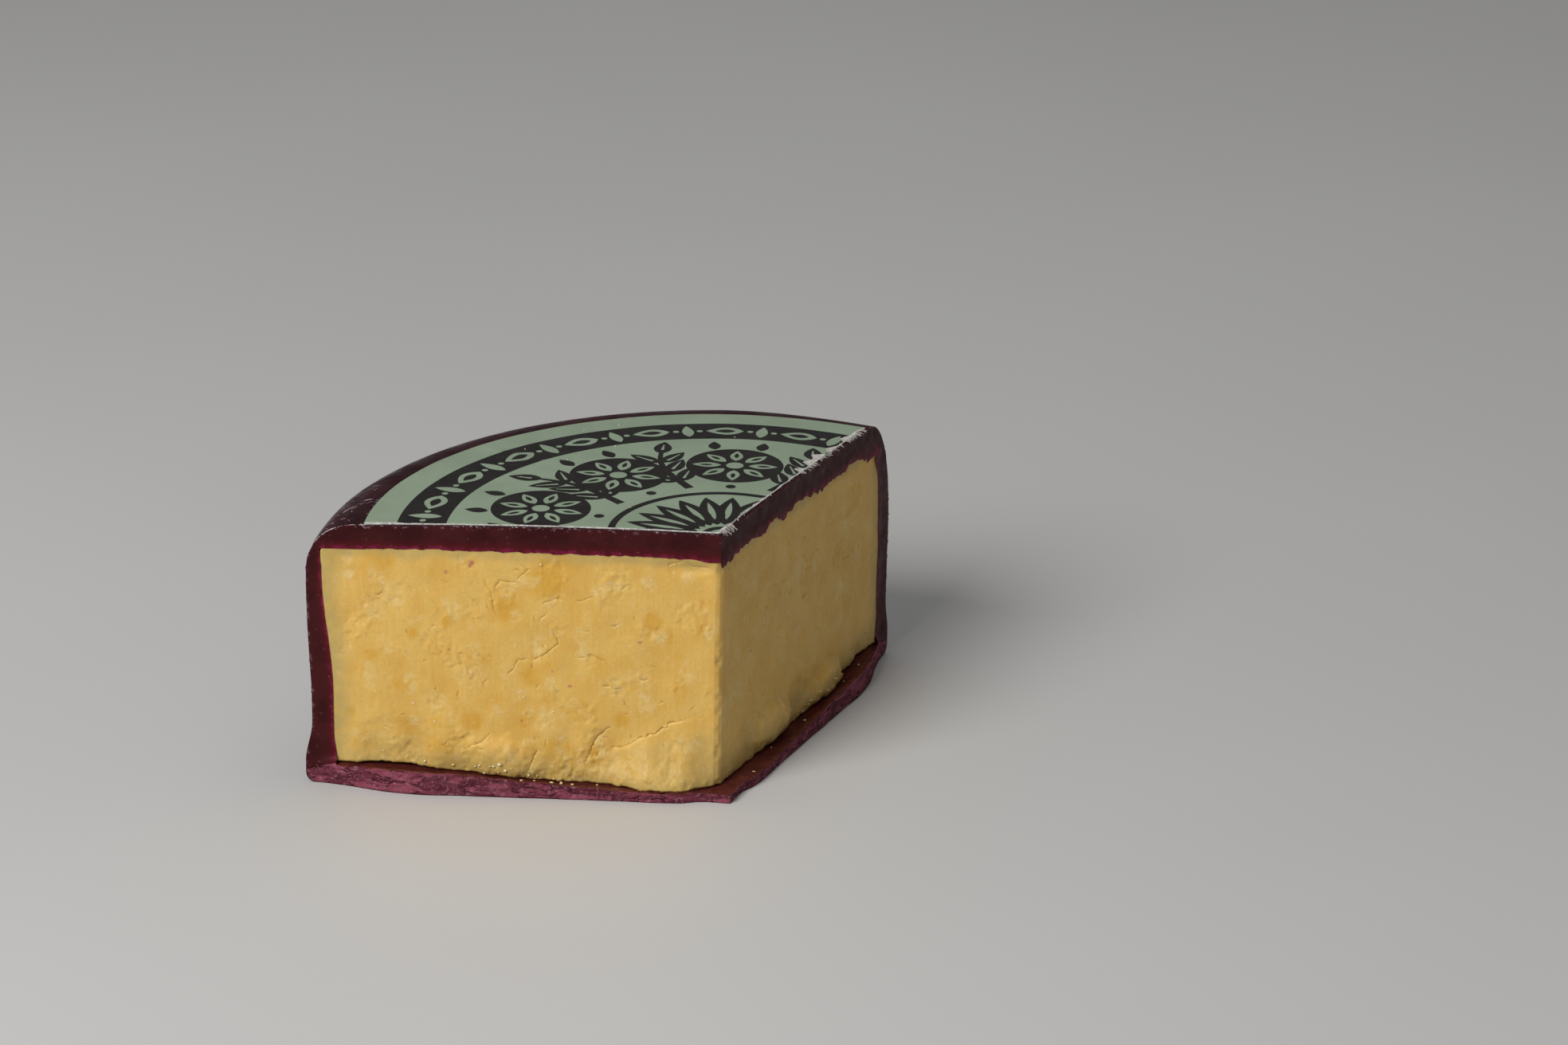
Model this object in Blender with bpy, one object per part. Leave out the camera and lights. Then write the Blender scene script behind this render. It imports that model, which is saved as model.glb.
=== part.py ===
"""A sector cut from a waxed cheddar wheel: the cheese, its thick wax coat and a paper label.

Everything is modelled about the wheel's own axis, on the empty wheel_axis. The empty is
then placed so that the middle of the block's footprint is the world origin.
Metres, +Z up. The front cut faces -Y.
"""

import math

import bpy
from mathutils import Vector, noise

MM = 0.001

# The sector that is left: the front cut runs along -X from the wheel's axis
FRONT_CUT = math.radians(180.0)
SIDE_CUT = math.radians(67.5)
SIDE_SLUMP_TURN = math.radians(25.0)

# The wheel
WALL_RADIUS = 100.5 * MM
CROWN_HEIGHT = 69.3 * MM
CROWN_SAG = 0.9 * MM
CROWN_RADIUS = 35.0 * MM
CROWN_REACH = 52.0 * MM
SIDE_DROOP = 0.3 * MM
SIDE_SWELL = 0.5 * MM

# Wax coat
TOP_WAX = 5.6 * MM
RIM_TOP_WAX = 5.0 * MM
APEX_WAX = 0.8 * MM
BASE_WAX_RIM = 6.1 * MM
BASE_WAX_MIDDLE = 2.2 * MM
SHOULDER_DROP = 13.3 * MM
SIDE_SHOULDER_DROP = 30.0 * MM
SHOULDER_SQUARENESS = 2.15
FRONT_SHOULDER_SQUARENESS = 2.4
FOOT_HEIGHT = 14.0 * MM
FOOT_FLARE = 1.8 * MM
FOOT_CORNER = 2.6 * MM
WALL_PINCH = 0.6 * MM
WAX_UNEVENNESS = 0.35 * MM

# The torn base wax that stands proud of both cuts
LEDGE_DEPTH = 5.5 * MM
LEDGE_TOP = 7.2 * MM
LEDGE_START = 101.0 * MM
LEDGE_FULL = 74.0 * MM
LEDGE_ROUND_CORNER = 9.0 * MM
LEDGE_WAVE = 0.08
LEDGE_MITRE = 0.5

# Cheese
CHEESE_RADIUS = 95.0 * MM
CHEESE_CORNER = 2.0 * MM
APEX_WEAR = 0.7 * MM

# Paper label
LABEL_RADIUS = 86.4 * MM
LABEL_SETBACK = 0.8 * MM
LABEL_THICKNESS = 0.3 * MM

# Neighbouring pieces keep this far apart
CLEARANCE = 0.3 * MM

# Places on the front cut that broke instead of cutting: how far along from the wheel's
# axis and how high their middle is, how far they reach each way and how far they stand
# out, all in millimetres
FRONT_BREAKS = (
    {"along": 54.0, "height": 8.0, "length": 13.0, "rise": 6.0, "out": 2.2},
    {"along": 37.0, "height": 9.0, "length": 9.0, "rise": 7.0, "out": -1.6},
    {"along": 8.0, "height": 60.5, "length": 8.0, "rise": 3.5, "out": -1.0},
    {"along": 79.0, "height": 12.0, "length": 12.0, "rise": 8.0, "out": -0.5},
)
SIDE_BREAKS = (
    {"along": 30.0, "height": 8.0, "length": 14.0, "rise": 7.0, "out": 1.8},
    {"along": 62.0, "height": 7.0, "length": 12.0, "rise": 6.0, "out": 2.0},
    {"along": 46.0, "height": 10.0, "length": 8.0, "rise": 6.0, "out": -1.3},
    {"along": 75.0, "height": 52.0, "length": 10.0, "rise": 5.0, "out": -0.7},
)

# The broken plate at the front cut's lower corner, under a slanting crack
PLATE_REACH = 33.0 * MM
CRACK_ALONG = 23.0 * MM
CRACK_HEIGHT = 13.4 * MM
CRACK_SLOPE = 0.55
PLATE_OUT = 2.0 * MM
PLATE_BULGE = 3.0 * MM

# Mesh density
TURN_STEPS = 22
TOP_POINTS = 10
SIDE_POINTS = 5
CORNER_STEPS = 4
WALL_POINTS = 6
BASE_POINTS = 20
CHEESE_RUN_STEPS = 40
CHEESE_RIM_STEPS = 14
CHEESE_ROWS = 22
CHEESE_CORNER_ROWS = 3
CAP_RINGS = 3
LABEL_RINGS = 9


def ease(value, low, high):
    """0 at low, 1 at high, smooth between; low may be above high."""
    share = min(1.0, max(0.0, (value - low) / (high - low)))
    return share * share * (3.0 - 2.0 * share)


def lumps(x, y, z, size):
    """Smooth unevenness from -1 to 1 with lumps about this size."""
    return noise.noise(Vector((x, y, z)) / size)


def side_share(angle):
    """1 at the side cut, 0 further round: the wheel slumped a little there."""
    return ease(angle, SIDE_CUT + SIDE_SLUMP_TURN, SIDE_CUT)


def crown(radius, angle):
    """Height of the label's upper side, a very shallow dome."""
    dome = CROWN_HEIGHT - CROWN_SAG * ((radius - CROWN_RADIUS) / CROWN_REACH) ** 2
    return dome - SIDE_DROOP * side_share(angle) * radius / LABEL_RADIUS


def wax_top(radius, angle):
    return crown(radius, angle) - LABEL_THICKNESS - CLEARANCE


def cavity_top(radius, angle):
    """Underside of the top wax, thickest at the wheel's axis."""
    wax = TOP_WAX + (RIM_TOP_WAX - TOP_WAX) * ease(radius, 40.0 * MM, 85.0 * MM)
    return wax_top(radius, angle) - wax - APEX_WAX * ease(radius, 12.0 * MM, 0.0)


def cavity_base(radius):
    """Upper side of the wax under the cheese: thick at the rim, thin in the middle."""
    return BASE_WAX_MIDDLE + (BASE_WAX_RIM - BASE_WAX_MIDDLE) * ease(radius, 34.0 * MM, 90.0 * MM)


def cavity_radius(height, angle):
    """Radius of the space for the cheese, wider towards the top as the wax thins."""
    radius = CHEESE_RADIUS + 2.3 * MM * ease(height, 25.0 * MM, 55.0 * MM)
    radius -= 0.8 * MM * ease(height, 14.0 * MM, 5.0 * MM)
    return radius - 3.6 * MM * side_share(angle) * ease(height, 28.0 * MM, 60.0 * MM)


def wall_radius(height, angle):
    """Outer wax wall below the shoulder: drawn in slightly, then flared at the foot."""
    radius = WALL_RADIUS + SIDE_SWELL * side_share(angle)
    radius -= WALL_PINCH * ease(height, 45.0 * MM, 18.0 * MM)
    return radius + FOOT_FLARE * ease(height, 16.0 * MM, 6.0 * MM)


def shoulder_drop(angle):
    return SHOULDER_DROP + (SIDE_SHOULDER_DROP - SHOULDER_DROP) * side_share(angle)


def shoulder_squareness(angle):
    """The shoulder is a little fuller towards the front cut."""
    front_share = ease(angle, FRONT_CUT - SIDE_SLUMP_TURN, FRONT_CUT)
    return SHOULDER_SQUARENESS + (FRONT_SHOULDER_SQUARENESS - SHOULDER_SQUARENESS) * front_share


def quarter(middle, reach, drop, squareness, steps):
    """Points (r, z) from above the middle round to beside it; squareness 2 is an ellipse."""
    points = []
    for i in range(steps + 1):
        turn = 0.5 * math.pi * i / steps
        across = math.sin(turn) ** (2.0 / squareness)
        up = max(0.0, math.cos(turn)) ** (2.0 / squareness)
        points.append((middle[0] + reach * across, middle[1] + drop * up))
    return points


def join(*sections):
    """One line from sections that share their end points."""
    line = list(sections[0])
    for section in sections[1:]:
        line += section[1:]
    return line


def outer_profile(angle):
    """The wax coat's outer side in (radius, height), from the top middle round to the base middle."""
    edge = LABEL_RADIUS + 0.6 * MM
    lip = (edge + CLEARANCE, crown(edge, angle) - 0.1 * MM)
    low = lip[1] - shoulder_drop(angle)
    top = []
    for i in range(TOP_POINTS - 1):
        radius = edge * i / (TOP_POINTS - 2)
        top.append((radius, wax_top(radius, angle)))
    top.append(lip)
    reach = wall_radius(low, angle) - lip[0]
    steps = CORNER_STEPS + SIDE_POINTS + 1
    shoulder = quarter((lip[0], low), reach, lip[1] - low, shoulder_squareness(angle), steps)
    wall = []
    for i in range(WALL_POINTS):
        height = low + (FOOT_HEIGHT - low) * i / (WALL_POINTS - 1)
        wall.append((wall_radius(height, angle), height))
    foot = []
    for height in (FOOT_HEIGHT, 10.0 * MM, 7.6 * MM, 6.4 * MM, FOOT_CORNER):
        foot.append((wall_radius(height, angle), height))
    rim = foot[-1][0]
    foot.append((rim - 0.3 * FOOT_CORNER, 0.3 * FOOT_CORNER))
    foot.append((rim - FOOT_CORNER, 0.0))
    base = []
    for i in range(BASE_POINTS):
        base.append((foot[-1][0] * (1.0 - i / (BASE_POINTS - 1)), 0.0))
    return join(top, shoulder, wall, foot, base)


def inner_profile(angle):
    """The wax coat's inner side, point for point with the outer side."""
    low = crown(LABEL_RADIUS, angle) - shoulder_drop(angle)
    ceiling = cavity_top(CHEESE_RADIUS, angle)
    corner_r = cavity_radius(ceiling, angle) - CHEESE_CORNER
    corner_z = ceiling - CHEESE_CORNER
    top = []
    for i in range(TOP_POINTS):
        radius = LABEL_RADIUS * i / (TOP_POINTS - 1)
        top.append((radius, cavity_top(radius, angle)))
    shoulder = [top[-1]]
    shoulder += quarter((corner_r, corner_z), CHEESE_CORNER, CHEESE_CORNER, 2.0, CORNER_STEPS)
    for i in range(1, SIDE_POINTS + 1):
        height = corner_z + (low - corner_z) * i / SIDE_POINTS
        shoulder.append((cavity_radius(height, angle), height))
    wall = []
    for i in range(WALL_POINTS):
        height = low + (FOOT_HEIGHT - low) * i / (WALL_POINTS - 1)
        wall.append((cavity_radius(height, angle), height))
    rim = cavity_radius(0.0, angle)
    floor = cavity_base(rim)
    foot = []
    for share in (0.0, 0.3, 0.55, 0.75, 0.9, 1.0):
        height = FOOT_HEIGHT + (floor - FOOT_HEIGHT) * share
        foot.append((cavity_radius(height, angle), height))
    foot.append((rim - FOOT_CORNER, cavity_base(rim - FOOT_CORNER)))
    base = []
    for i in range(BASE_POINTS):
        radius = foot[-1][0] * (1.0 - i / (BASE_POINTS - 1))
        base.append((radius, cavity_base(radius)))
    return join(top, shoulder, wall, foot, base)


def cut_directions(angle, outward):
    """The direction from the axis along a cut, and the direction out of it."""
    along = Vector((math.cos(angle), math.sin(angle), 0.0))
    return along, Vector((-along.y, along.x, 0.0)) * outward


FRONT_ALONG, FRONT_OUT = cut_directions(FRONT_CUT, 1.0)
SIDE_ALONG, SIDE_OUT = cut_directions(SIDE_CUT, -1.0)


def ledge_shift(spot):
    """How far the torn base wax stands out of the two cuts at this point of the wax."""
    depth = LEDGE_DEPTH * ease(spot.z, LEDGE_TOP + 0.5 * MM, LEDGE_TOP - 0.5 * MM)
    front_near = ease(-spot.dot(FRONT_OUT), LEDGE_ROUND_CORNER, 0.0)
    side_near = ease(-spot.dot(SIDE_OUT), LEDGE_ROUND_CORNER, 0.0)
    near = front_near + side_near
    if depth == 0.0 or near == 0.0:
        return Vector((0.0, 0.0, 0.0))
    radius = spot.to_2d().length
    depth *= ease(radius, LEDGE_START, LEDGE_FULL)
    depth *= 1.0 + LEDGE_WAVE * lumps(radius, 0.3, spot.z * 0.6, 9.0 * MM)
    mitre = LEDGE_MITRE * ease(radius, 14.0 * MM, 0.0) / math.tan((FRONT_CUT - SIDE_CUT) / 2.0)
    front = FRONT_OUT - FRONT_ALONG * mitre
    side = SIDE_OUT - SIDE_ALONG * mitre
    return (front * front_near ** 2 + side * side_near ** 2) * depth / near


def wax_vertex(profile_point, angle, outer):
    """A point of the wax coat: turned about the axis, made uneven and moved out at the ledge."""
    radius, height = profile_point
    outwards = Vector((math.cos(angle), math.sin(angle), 0.0))
    spot = outwards * radius + Vector((0.0, 0.0, height))
    if outer and height > 2.0 * MM:
        bumps = WAX_UNEVENNESS * lumps(spot.x, spot.y, spot.z, 21.0 * MM)
        spot += outwards * bumps * ease(radius, LABEL_RADIUS + 1.0 * MM, WALL_RADIUS)
    return spot + ledge_shift(spot)


def new_object(name, vertices, faces, finish):
    mesh = bpy.data.meshes.new(name)
    mesh.from_pydata([tuple(spot) for spot in vertices], [], faces)
    mesh.validate()
    mesh.shade_smooth()
    mesh.set_sharp_from_angle(angle=math.radians(35))
    mesh.materials.append(finish)
    obj = bpy.data.objects.new(name, mesh)
    bpy.context.scene.collection.objects.link(obj)
    return obj


def add_face(faces, *corners):
    """Adds the face as triangles, leaving out corners that are the same vertex."""
    kept = [corner for k, corner in enumerate(corners) if corner != corners[k - 1]]
    for k in range(1, len(kept) - 1):
        faces.append((kept[0], kept[k], kept[k + 1]))


def turned_sheet(vertices, profile, outer):
    """Turns a profile through the sector; its ends on the axis stay one vertex each."""
    sheet = []
    for j in range(TURN_STEPS + 1):
        angle = SIDE_CUT + (FRONT_CUT - SIDE_CUT) * j / TURN_STEPS
        points = profile(angle)
        line = []
        for i, point in enumerate(points):
            if j > 0 and i in (0, len(points) - 1):
                line.append(sheet[0][i])
            else:
                vertices.append(wax_vertex(point, angle, outer))
                line.append(len(vertices) - 1)
        sheet.append(line)
    return sheet


def wax_coat(finish):
    """A closed C-shaped shell: outer sheet, inner sheet and the two cut faces."""
    vertices = []
    faces = []
    outside = turned_sheet(vertices, outer_profile, True)
    inside = turned_sheet(vertices, inner_profile, False)
    spans = range(len(outside[0]) - 1)
    for j in range(TURN_STEPS):
        for i in spans:
            add_face(faces, outside[j][i], outside[j][i + 1], outside[j + 1][i + 1], outside[j + 1][i])
            add_face(faces, inside[j][i], inside[j + 1][i], inside[j + 1][i + 1], inside[j][i + 1])
    for i in spans:
        add_face(faces, outside[0][i], inside[0][i], inside[0][i + 1], outside[0][i + 1])
        add_face(faces, outside[-1][i], outside[-1][i + 1], inside[-1][i + 1], inside[-1][i])
    return new_object("wax_coat", vertices, faces, finish)


def breaks_at(along, height, breaks):
    """How far the listed breaks move the surface out at this place."""
    out = 0.0
    for spot in breaks:
        across = (along / MM - spot["along"]) / spot["length"]
        up = (height / MM - spot["height"]) / spot["rise"]
        out += spot["out"] * MM * ease(math.hypot(across, up), 1.0, 0.25)
    return out


def plate_at(along, height):
    """The plate that broke and slid forward under the crack at the lower corner."""
    crack = CRACK_HEIGHT + (CRACK_ALONG - along) * CRACK_SLOPE
    share = ease(height, crack + 0.8 * MM, crack - 0.8 * MM) * ease(along, PLATE_REACH, 25.0 * MM)
    bulge = PLATE_BULGE * ease(along, 28.0 * MM, 17.0 * MM) * ease(height, crack, 3.0 * MM)
    return (PLATE_OUT + bulge) * share


def crumbly_foot(along, height, seed):
    """Small crags in a band along the foot of a cut."""
    return 1.0 * MM * ease(height, 24.0 * MM, 9.0 * MM) * lumps(along, height * 0.6, seed, 7.0 * MM)


def gentle_waves(along, height, seed):
    wide = 0.45 * MM * lumps(along, height, seed, 24.0 * MM)
    return wide + 0.3 * MM * lumps(along, height, seed + 5.0, 8.0 * MM)


def front_relief(along, height):
    relief = gentle_waves(along, height, 0.2) + crumbly_foot(along, height, 9.4)
    relief += breaks_at(along, height, FRONT_BREAKS)
    return relief * ease(along, 0.0, 5.0 * MM) + plate_at(along, height) * ease(along, 0.0, 10.0 * MM)


def side_relief(along, height):
    relief = gentle_waves(along, height, 31.0) + crumbly_foot(along, height, 41.0)
    relief += breaks_at(along, height, SIDE_BREAKS)
    return relief * ease(along, 0.0, 5.0 * MM)


def cheese_height(radius, angle, share):
    """Height at a share of the way from the underside of the cheese to its top."""
    low = cavity_base(radius) + CLEARANCE
    high = cavity_top(radius, angle) - CLEARANCE
    return low + (high - low) * share


def cheese_radius(height, angle):
    """Radius of the cheese, with its upper edge rounded."""
    radius = cavity_radius(height, angle) - CLEARANCE
    above = height - (cavity_top(CHEESE_RADIUS, angle) - CLEARANCE - CHEESE_CORNER)
    if above <= 0.0:
        return radius
    rise = min(above, CHEESE_CORNER)
    return radius - CHEESE_CORNER + math.sqrt(CHEESE_CORNER ** 2 - rise ** 2)


def cut_point(angle, along_way, out_way, run, share, relief):
    """A point of the cheese on a cut, run of the way from the axis to the rim."""
    height = cheese_height(CHEESE_RADIUS * run, angle, share)
    along = run * cheese_radius(height, angle)
    fade = ease(share, 1.0, 0.93) * ease(along, CHEESE_RADIUS, CHEESE_RADIUS - 6.0 * MM)
    out = relief(along, height) * fade - APEX_WEAR * ease(along, 4.0 * MM, 0.0)
    return along_way * along + out_way * out + Vector((0.0, 0.0, height))


def cheese_outline(share):
    """One closed line round the cheese at a share of its height."""
    points = []
    for step in range(CHEESE_RUN_STEPS, 0, -1):
        run = step / CHEESE_RUN_STEPS
        points.append(cut_point(FRONT_CUT, FRONT_ALONG, FRONT_OUT, run, share, front_relief))
    apex_height = cheese_height(0.0, FRONT_CUT, share)
    points.append(Vector((0.0, 0.0, apex_height)) - (FRONT_OUT + SIDE_OUT) * APEX_WEAR)
    for step in range(1, CHEESE_RUN_STEPS + 1):
        run = step / CHEESE_RUN_STEPS
        points.append(cut_point(SIDE_CUT, SIDE_ALONG, SIDE_OUT, run, share, side_relief))
    for step in range(1, CHEESE_RIM_STEPS):
        angle = SIDE_CUT + (FRONT_CUT - SIDE_CUT) * step / CHEESE_RIM_STEPS
        height = cheese_height(CHEESE_RADIUS, angle, share)
        radius = cheese_radius(height, angle)
        points.append(Vector((radius * math.cos(angle), radius * math.sin(angle), height)))
    return points


def row_shares():
    """Even rows up to the rounded upper edge, then closer ones round it."""
    tall = CROWN_HEIGHT - LABEL_THICKNESS - CLEARANCE - TOP_WAX - BASE_WAX_RIM
    corner = CHEESE_CORNER / tall
    shares = [(1.0 - corner) * row / CHEESE_ROWS for row in range(CHEESE_ROWS + 1)]
    for row in range(1, CHEESE_CORNER_ROWS + 1):
        shares.append(1.0 - corner + corner * math.sin(0.5 * math.pi * row / CHEESE_CORNER_ROWS))
    return shares


def on_cap(spot, share):
    """Puts a point at the cheese's underside or top for its place."""
    spot.z = cheese_height(spot.to_2d().length, math.atan2(spot.y, spot.x), share)
    return spot


def bridge(faces, lower, upper):
    """Triangles between two closed rows with as many points each."""
    count = len(lower)
    for k in range(count):
        n = (k + 1) % count
        add_face(faces, lower[k], lower[n], upper[n], upper[k])


def close_end(vertices, faces, edge, share):
    """Closes the underside (share 0) or the top (share 1) with rings that shrink inwards."""
    turn = (FRONT_CUT + SIDE_CUT) / 2.0
    middle = Vector((math.cos(turn), math.sin(turn), 0.0)) * 0.55 * CHEESE_RADIUS
    outline = [vertices[k].copy() for k in edge]
    last = edge
    for ring in range(1, CAP_RINGS + 1):
        start = len(vertices)
        for spot in outline:
            vertices.append(on_cap(spot.lerp(middle, ring / (CAP_RINGS + 1)), share))
        inner = list(range(start, len(vertices)))
        if share > 0.5:
            bridge(faces, last, inner)
        else:
            bridge(faces, inner, last)
        last = inner
    vertices.append(on_cap(middle.copy(), share))
    tip = len(vertices) - 1
    for k in range(len(last)):
        n = (k + 1) % len(last)
        faces.append((last[k], last[n], tip) if share > 0.5 else (last[n], last[k], tip))


def cheese(finish):
    """Rows of outlines from the underside to the top, closed at both ends."""
    vertices = []
    faces = []
    rows = []
    for share in row_shares():
        start = len(vertices)
        vertices += cheese_outline(share)
        rows.append(list(range(start, len(vertices))))
    for lower, upper in zip(rows, rows[1:]):
        bridge(faces, lower, upper)
    close_end(vertices, faces, rows[0], 0.0)
    close_end(vertices, faces, rows[-1], 1.0)
    return new_object("cheese", vertices, faces, finish)


def label_sheet(vertices, drop):
    """One side of the label, set back from both cuts, at this depth under the crown."""
    half = (FRONT_CUT - SIDE_CUT) / 2.0
    middle = (FRONT_CUT + SIDE_CUT) / 2.0
    tip_radius = LABEL_SETBACK / math.sin(half)
    tip = Vector((math.cos(middle), math.sin(middle), 0.0)) * tip_radius
    trim = math.asin(LABEL_SETBACK / LABEL_RADIUS)
    vertices.append(Vector((tip.x, tip.y, crown(tip_radius, middle) - drop)))
    tip_index = len(vertices) - 1
    sheet = []
    for j in range(TURN_STEPS + 1):
        angle = SIDE_CUT + trim + (FRONT_CUT - SIDE_CUT - 2.0 * trim) * j / TURN_STEPS
        rim = Vector((math.cos(angle), math.sin(angle), 0.0)) * LABEL_RADIUS
        line = [tip_index]
        for i in range(1, LABEL_RINGS + 1):
            spot = tip.lerp(rim, i / LABEL_RINGS)
            spot.z = crown(spot.to_2d().length, math.atan2(spot.y, spot.x)) - drop
            vertices.append(spot)
            line.append(len(vertices) - 1)
        sheet.append(line)
    return sheet


def label(finish):
    """The paper disc's sector: two thin sheets with a closed edge."""
    vertices = []
    faces = []
    under = label_sheet(vertices, LABEL_THICKNESS)
    upper = label_sheet(vertices, 0.0)
    for j in range(TURN_STEPS):
        for i in range(LABEL_RINGS):
            add_face(faces, upper[j][i], upper[j][i + 1], upper[j + 1][i + 1], upper[j + 1][i])
            add_face(faces, under[j][i], under[j + 1][i], under[j + 1][i + 1], under[j][i + 1])
        add_face(faces, upper[j][-1], under[j][-1], under[j + 1][-1], upper[j + 1][-1])
    for i in range(LABEL_RINGS):
        add_face(faces, under[0][i], under[0][i + 1], upper[0][i + 1], upper[0][i])
        add_face(faces, upper[-1][i], upper[-1][i + 1], under[-1][i + 1], under[-1][i])
    return new_object("label", vertices, faces, finish)


def surface(name, colour, roughness):
    made = bpy.data.materials.new(name)
    made.use_nodes = True
    shader = made.node_tree.nodes["Principled BSDF"]
    shader.inputs["Base Color"].default_value = (*colour, 1.0)
    shader.inputs["Roughness"].default_value = roughness
    shader.inputs["Metallic"].default_value = 0.0
    return made


def build():
    for obj in list(bpy.data.objects):
        bpy.data.objects.remove(obj)
    axis = bpy.data.objects.new("wheel_axis", None)
    bpy.context.scene.collection.objects.link(axis)
    coat = wax_coat(surface("burgundy_wax", (0.095, 0.012, 0.022), 0.35))
    body = cheese(surface("mature_cheddar", (0.80, 0.56, 0.20), 0.55))
    paper = label(surface("printed_paper", (0.24, 0.33, 0.25), 0.45))
    for piece in (coat, body, paper):
        piece.parent = axis
    corners = [Vector(corner) for corner in coat.bound_box]
    middle_x = (min(c.x for c in corners) + max(c.x for c in corners)) / 2.0
    middle_y = (min(c.y for c in corners) + max(c.y for c in corners)) / 2.0
    axis.location = Vector((-middle_x, -middle_y, 0.0))


build()
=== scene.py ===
import math
import random

import bmesh
import bpy
import numpy as np
from mathutils import Matrix, Vector, geometry, noise


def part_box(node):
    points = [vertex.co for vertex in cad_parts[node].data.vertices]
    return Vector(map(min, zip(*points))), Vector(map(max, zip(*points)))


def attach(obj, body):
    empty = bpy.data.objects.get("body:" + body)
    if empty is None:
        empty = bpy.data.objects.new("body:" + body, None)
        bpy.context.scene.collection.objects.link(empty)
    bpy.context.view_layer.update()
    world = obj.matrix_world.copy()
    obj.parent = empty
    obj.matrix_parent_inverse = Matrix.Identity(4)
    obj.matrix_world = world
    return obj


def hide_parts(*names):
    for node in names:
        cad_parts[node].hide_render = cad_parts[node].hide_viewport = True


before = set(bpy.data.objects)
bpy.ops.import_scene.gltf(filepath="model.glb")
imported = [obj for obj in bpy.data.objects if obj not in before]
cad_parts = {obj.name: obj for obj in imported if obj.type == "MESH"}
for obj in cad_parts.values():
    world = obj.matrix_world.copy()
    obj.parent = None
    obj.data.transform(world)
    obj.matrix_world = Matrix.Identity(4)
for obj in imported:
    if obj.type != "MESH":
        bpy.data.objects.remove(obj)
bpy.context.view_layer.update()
mm = 0.001

wheel = {
    "frontCut": math.radians(180.0),
    "sideCut": math.radians(67.5),
    "slumpTurn": math.radians(25.0),
    "wallRadius": 100.5,
    "crownHeight": 69.3,
    "crownSag": 0.9,
    "crownRadius": 35.0,
    "crownReach": 52.0,
    "sideDroop": 0.3,
    "sideSwell": 0.5,
    "labelRadius": 86.4,
    "labelSetback": 0.8,
    "labelThickness": 0.3,
    "clearance": 0.3,
    "topWax": 5.6,
    "rimTopWax": 5.0,
    "apexWax": 0.8,
    "baseWaxRim": 5.4,
    "baseWaxMiddle": 2.2,
    "cheeseRadius": 95.0,
    "cheeseCorner": 1.0,
    "paperGap": 0.05,
}


def cutWays(angle, outward):
    along = Vector((math.cos(angle), math.sin(angle), 0.0))
    return angle, along, Vector((-along.y, along.x, 0.0)) * outward


# Each cut's angle, the way along it from the wheel's axis and the way out of it
cuts = {"front": cutWays(wheel["frontCut"], 1.0), "side": cutWays(wheel["sideCut"], -1.0)}
frontAlong, frontOut = cuts["front"][1:]
sideAlong, sideOut = cuts["side"][1:]


def ease(value, low, high):
    share = min(1.0, max(0.0, (value - low) / (high - low)))
    return share * share * (3.0 - 2.0 * share)


def lumps(x, y, z, size):
    return noise.noise(Vector((x, y, z)) / size)


def between(first, last, steps):
    # steps + 1 even values from first to last
    return [first + (last - first) * i / steps for i in range(steps + 1)]


def wheelAxis():
    # the label's corner on the rim and its front edge give the place of the wheel's axis
    low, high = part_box("label")
    reach = math.sqrt(wheel["labelRadius"] ** 2 - wheel["labelSetback"] ** 2)
    return Vector((low.x + reach * mm, low.y - wheel["labelSetback"] * mm, 0.0))


axisPlace = wheelAxis()


def sideShare(angle):
    return ease(angle, wheel["sideCut"] + wheel["slumpTurn"], wheel["sideCut"])


def crown(radius, angle):
    # the label's upper side, a very shallow dome
    dome = wheel["crownHeight"]
    dome -= wheel["crownSag"] * ((radius - wheel["crownRadius"]) / wheel["crownReach"]) ** 2
    return dome - wheel["sideDroop"] * sideShare(angle) * radius / wheel["labelRadius"]


def waxTop(radius, angle):
    return crown(radius, angle) - wheel["labelThickness"] - wheel["paperGap"]


def cavityTop(radius, angle):
    wax = wheel["topWax"] + (wheel["rimTopWax"] - wheel["topWax"]) * ease(radius, 40.0, 85.0)
    wax += wheel["clearance"] - wheel["paperGap"]
    return waxTop(radius, angle) - wax - wheel["apexWax"] * ease(radius, 12.0, 0.0)


def cavityBase(radius):
    return wheel["baseWaxMiddle"] + (wheel["baseWaxRim"] - wheel["baseWaxMiddle"]) * ease(radius, 34.0, 90.0)


def cavityRadius(height, angle):
    radius = wheel["cheeseRadius"] + 2.3 * ease(height, 25.0, 55.0)
    radius -= 0.8 * ease(height, 14.0, 5.0)
    return radius - 3.6 * sideShare(angle) * ease(height, 28.0, 60.0)


def newPiece(name, spots, faces, finishes, finishOf=None, sharpAngle=30.0):
    # spots are in millimetres about the wheel's axis
    mesh = bpy.data.meshes.new(name)
    mesh.from_pydata([Vector(spot) * mm for spot in spots], [], faces)
    for finish in finishes:
        mesh.materials.append(finish)
    if finishOf is not None:
        mesh.polygons.foreach_set("material_index", np.array(finishOf, np.int32))
    mesh.shade_smooth()
    mesh.set_sharp_from_angle(angle=math.radians(sharpAngle))
    piece = bpy.data.objects.new(name, mesh)
    bpy.context.scene.collection.objects.link(piece)
    piece.location = axisPlace
    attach(piece, "root")
    return piece


def markPoints(piece, names, table):
    # the table holds one number per name for each point, which the finishes read
    for name, values in zip(names, zip(*table)):
        points = piece.data.attributes.new(name, "FLOAT", "POINT")
        points.data.foreach_set("value", np.array(values, np.float32))


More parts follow.
